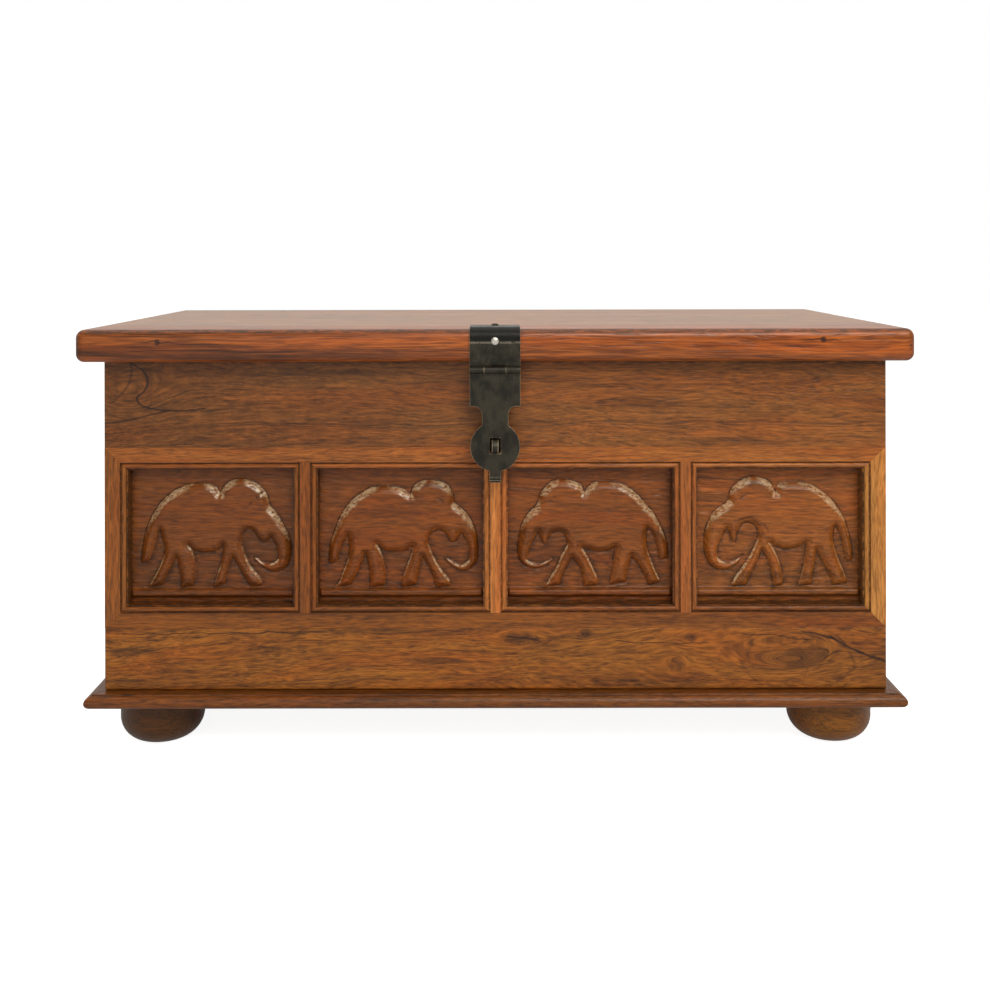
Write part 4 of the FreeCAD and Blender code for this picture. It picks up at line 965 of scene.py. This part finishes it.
def blackened(name, base, brightening, wear, metallic=0.6, marks=None):
    """Iron with fire scale and oil, mottled and scuffed; wear brings up the bare metal."""
    material, tree, shader = fresh_material(name)
    place = node(tree, "ShaderNodeTexCoord").outputs["Object"]
    forged = used(tree, iron, {"Vector": place, "Base": stain(base), "Rubbed": stain(brightening),
                               "Wear": wear})
    colour = forged["Color"]
    # Marks may lay a painted shade in near-black and a painted highlight in the bright colour.
    if marks:
        painted_bend_shade, crease_highlight = marks(tree, place)
        colour = mixed(tree, painted_bend_shade, colour, stain("090807"))
        colour = mixed(tree, crease_highlight, colour, stain(brightening))
    tree.links.new(colour, shader.inputs["Base Color"])
    rough_skin(tree, shader, forged["Roughness"], forged["Height"], 0.4, 0.0005)
    shader.inputs["Metallic"].default_value = metallic
    return material


iron_face = blackened("blackened_iron", "25211A", "5E564A", 0.10)
# Edge iron: rubbed wear with a painted highlight, put on every bevelled edge of the iron and on the
# pins and hinge screws.
rubbed_and_highlit_edge = blackened("rubbed_and_highlit_iron_edge", "5E5343", "B8AA90", 0.45)
for side in ("left", "right"):
    eased(side + "_hinge_body_leaf", 0.0003, iron_face, rubbed_and_highlit_edge)
    eased(side + "_hinge_lid_leaf", 0.0003, iron_face, rubbed_and_highlit_edge)
eased("hinge_pins", 0.0003, rubbed_and_highlit_edge)

# Hasp: a forged strap over the lid's edge, a slotted plate that swings on a pin in its knuckles,
# and a staple for the padlock. Two round-headed screws hold the strap, one of them left bright.
def bent_strap(tree, place):
    """Painted shade over the strap's bend, and a painted highlight along the crease below it."""
    parts = axes(tree, place)
    # Painted highlight: a soft bright line across the strap where it bends from its top to its
    # face.
    crease_highlight = eased_step(tree, calc(tree, "ABSOLUTE", calc(tree, "SUBTRACT", parts["Z"], 0.4460)),
                        0.0003, 0.0018, 0.5, 0.0)
    crease_highlight = calc(tree, "MULTIPLY", crease_highlight, eased_step(tree, noise(
        tree, place, (160.0, 1.0, 160.0)), 0.35, 0.5))
    # Painted shade: darker above the crease, over the bend.
    return eased_step(tree, parts["Z"], 0.4462, 0.4490, 0.0, 0.95), crease_highlight


strap_face = blackened("blackened_strap", "25211A", "8E8474", 0.10, marks=bent_strap)
eased("hasp_strap", 0.0006, strap_face, rubbed_and_highlit_edge)
for name in ("hasp_plate", "hasp_staple"):
    eased(name, 0.0006, iron_face, rubbed_and_highlit_edge)
eased("hasp_pin", 0.0003, rubbed_and_highlit_edge)


def screw(name, middle, facing, radius, height, body, material):
    """A dome: at each radius it stands as high as an ellipse does, and a slot's width is pressed
    down across it. It is made facing up, then its axes are swapped to face the given way."""
    shares = np.linspace(0, 1, 12)[:, None]
    angle = np.linspace(0, 2 * math.pi, 48, endpoint=False)
    across, along = radius * shares * np.cos(angle), radius * shares * np.sin(angle)
    rise = height * np.sqrt(np.clip(1 - shares ** 2, 0, 1)) * np.ones_like(across)
    rise = np.where(abs(along) < radius * 0.17, rise * 0.55, rise)
    dome = np.stack([across, along, rise], axis=-1)[::-1]
    foot = dome[:1].copy()
    foot[..., 2] -= 0.0004
    dome = np.concatenate([foot, dome[:-1]])
    order, sign = {"up": ((0, 1, 2), 1), "down": ((0, 1, 2), -1), "front": ((0, 2, 1), -1),
                   "back": ((0, 2, 1), 1)}[facing]
    dome = dome[..., list(order)]
    dome[..., order.index(2)] *= sign
    piece = surface(name, dome + np.array(middle), [material])
    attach(piece, body)
    return piece


screw_steel = blackened("screw_steel", "8A8680", "D5D0C8", 0.5, 0.9)
round_head, flat_head = (0.0043, 0.0022), (0.0032, 0.0008)
on_strap_front, on_strap_top = (0.0, -0.221875, 0.4476), (0.0, -0.188375, 0.4625)
hinge_middle, screw_step = 0.260, 0.020
body_leaf_row, lid_leaf_row = (0.207625, 0.39855), (0.219925, 0.4230)
screw("hasp_front_screw", on_strap_front, "front", *round_head, "lid", screw_steel)
screw("hasp_top_screw", on_strap_top, "up", *round_head, "lid", iron_face)
for side, sign in (("left", -1), ("right", 1)):
    for number in (1, 2, 3):
        x = sign * hinge_middle + (number - 2) * screw_step
        screw(side + "_hinge_body_screw_" + str(number), (x, *body_leaf_row), "back", *flat_head,
              "carcase", rubbed_and_highlit_edge)
        screw(side + "_hinge_lid_screw_" + str(number), (x, *lid_leaf_row), "down", *flat_head,
              "lid", rubbed_and_highlit_edge)

# Studio: a plain white floor and backdrop, lit slightly warm by a wide strong lamp high in front on
# the right, a weak one overhead and another low in front on the left. The camera stands level, a
# little above the lid.
def rays_seen(tree):
    """Which rays are mirrored ones, and which come from the camera, a mirror or glass."""
    rays = node(tree, "ShaderNodeLightPath").outputs
    seen = calc(tree, "MAXIMUM", rays["Is Camera Ray"], rays["Is Glossy Ray"])
    return rays["Is Glossy Ray"], calc(tree, "MAXIMUM", seen, rays["Is Transmission Ray"])


world = bpy.data.worlds.new("studio")
bpy.context.scene.world = world
world.use_nodes = True
sky = world.node_tree
back = sky.nodes["Background"]
glossy, seen = rays_seen(sky)
sky.links.new(mixed(sky, glossy, (1.0, 1.0, 1.0, 1.0), (1.0, 0.95, 0.88, 1.0)),
              back.inputs["Color"])
outlook = axes(sky, node(sky, "ShaderNodeTexCoord").outputs["Generated"])["Y"]
mirrored = calc(sky, "MULTIPLY", glossy, eased_step(sky, outlook, 0.3, -0.5))
bright = calc(sky, "MULTIPLY_ADD", mirrored, -0.8, calc(sky, "MULTIPLY_ADD", seen, 0.6, 0.4))
sky.links.new(bright, back.inputs["Strength"])

floor_mesh = bpy.data.meshes.new("studio_floor")
floor_mesh.from_pydata([(x, y, 0.0) for x, y in ((-9, -9), (9, -9), (9, 9), (-9, 9))], [],
                       [(0, 1, 2, 3)])
floor = placed("studio_floor", floor_mesh)
paper, sheet, shader = fresh_material("white_paper")
shader.inputs["Base Color"].default_value = (0.6, 0.6, 0.6, 1.0)
shader.inputs["Roughness"].default_value = 1.0
shader.inputs["Specular IOR Level"].default_value = 0.0
shader.inputs["Emission Color"].default_value = (1.0, 1.0, 1.0, 1.0)
glossy, seen = rays_seen(sheet)
glow = calc(sheet, "MULTIPLY_ADD", glossy, -0.7, calc(sheet, "MULTIPLY", seen, 0.9))
sheet.links.new(glow, shader.inputs["Emission Strength"])
floor_mesh.materials.append(paper)

for label, place, aim, size, power in (
        ("key_lamp", (0.9, -2.2, 2.2), (0.0, -0.2, 0.3), (2.0, 1.1), 62.0),
        ("overhead_lamp", (0.0, -0.1, 2.4), (0.0, 0.0, 0.3), (2.4, 1.4), 12.0),
        ("front_lamp", (-0.8, -3.2, 1.0), (0.0, 0.0, 0.3), (1.6, 1.2), 10.0)):
    lamp = bpy.data.lights.new(label, "AREA")
    lamp.shape = "RECTANGLE"
    lamp.size, lamp.size_y = size
    lamp.energy = power
    lamp.color = (1.0, 0.985, 0.89)
    fixture = placed(label, lamp)
    fixture.location = place
    aim_line = Vector(aim) - Vector(place)
    fixture.rotation_euler = aim_line.to_track_quat("-Z", "Y").to_euler()

lens = bpy.data.cameras.new("camera")
lens.sensor_width = 36.0
lens.lens = 44.335
lens.shift_x, lens.shift_y = 0.0002, -0.2459
camera = placed("camera", lens)
camera.location = (0.0, -1.5205, 0.54305)
camera.rotation_euler = (math.pi / 2, math.radians(0.111), 0.0)
bpy.context.scene.camera = camera
bpy.context.scene.view_settings.view_transform = "Standard"
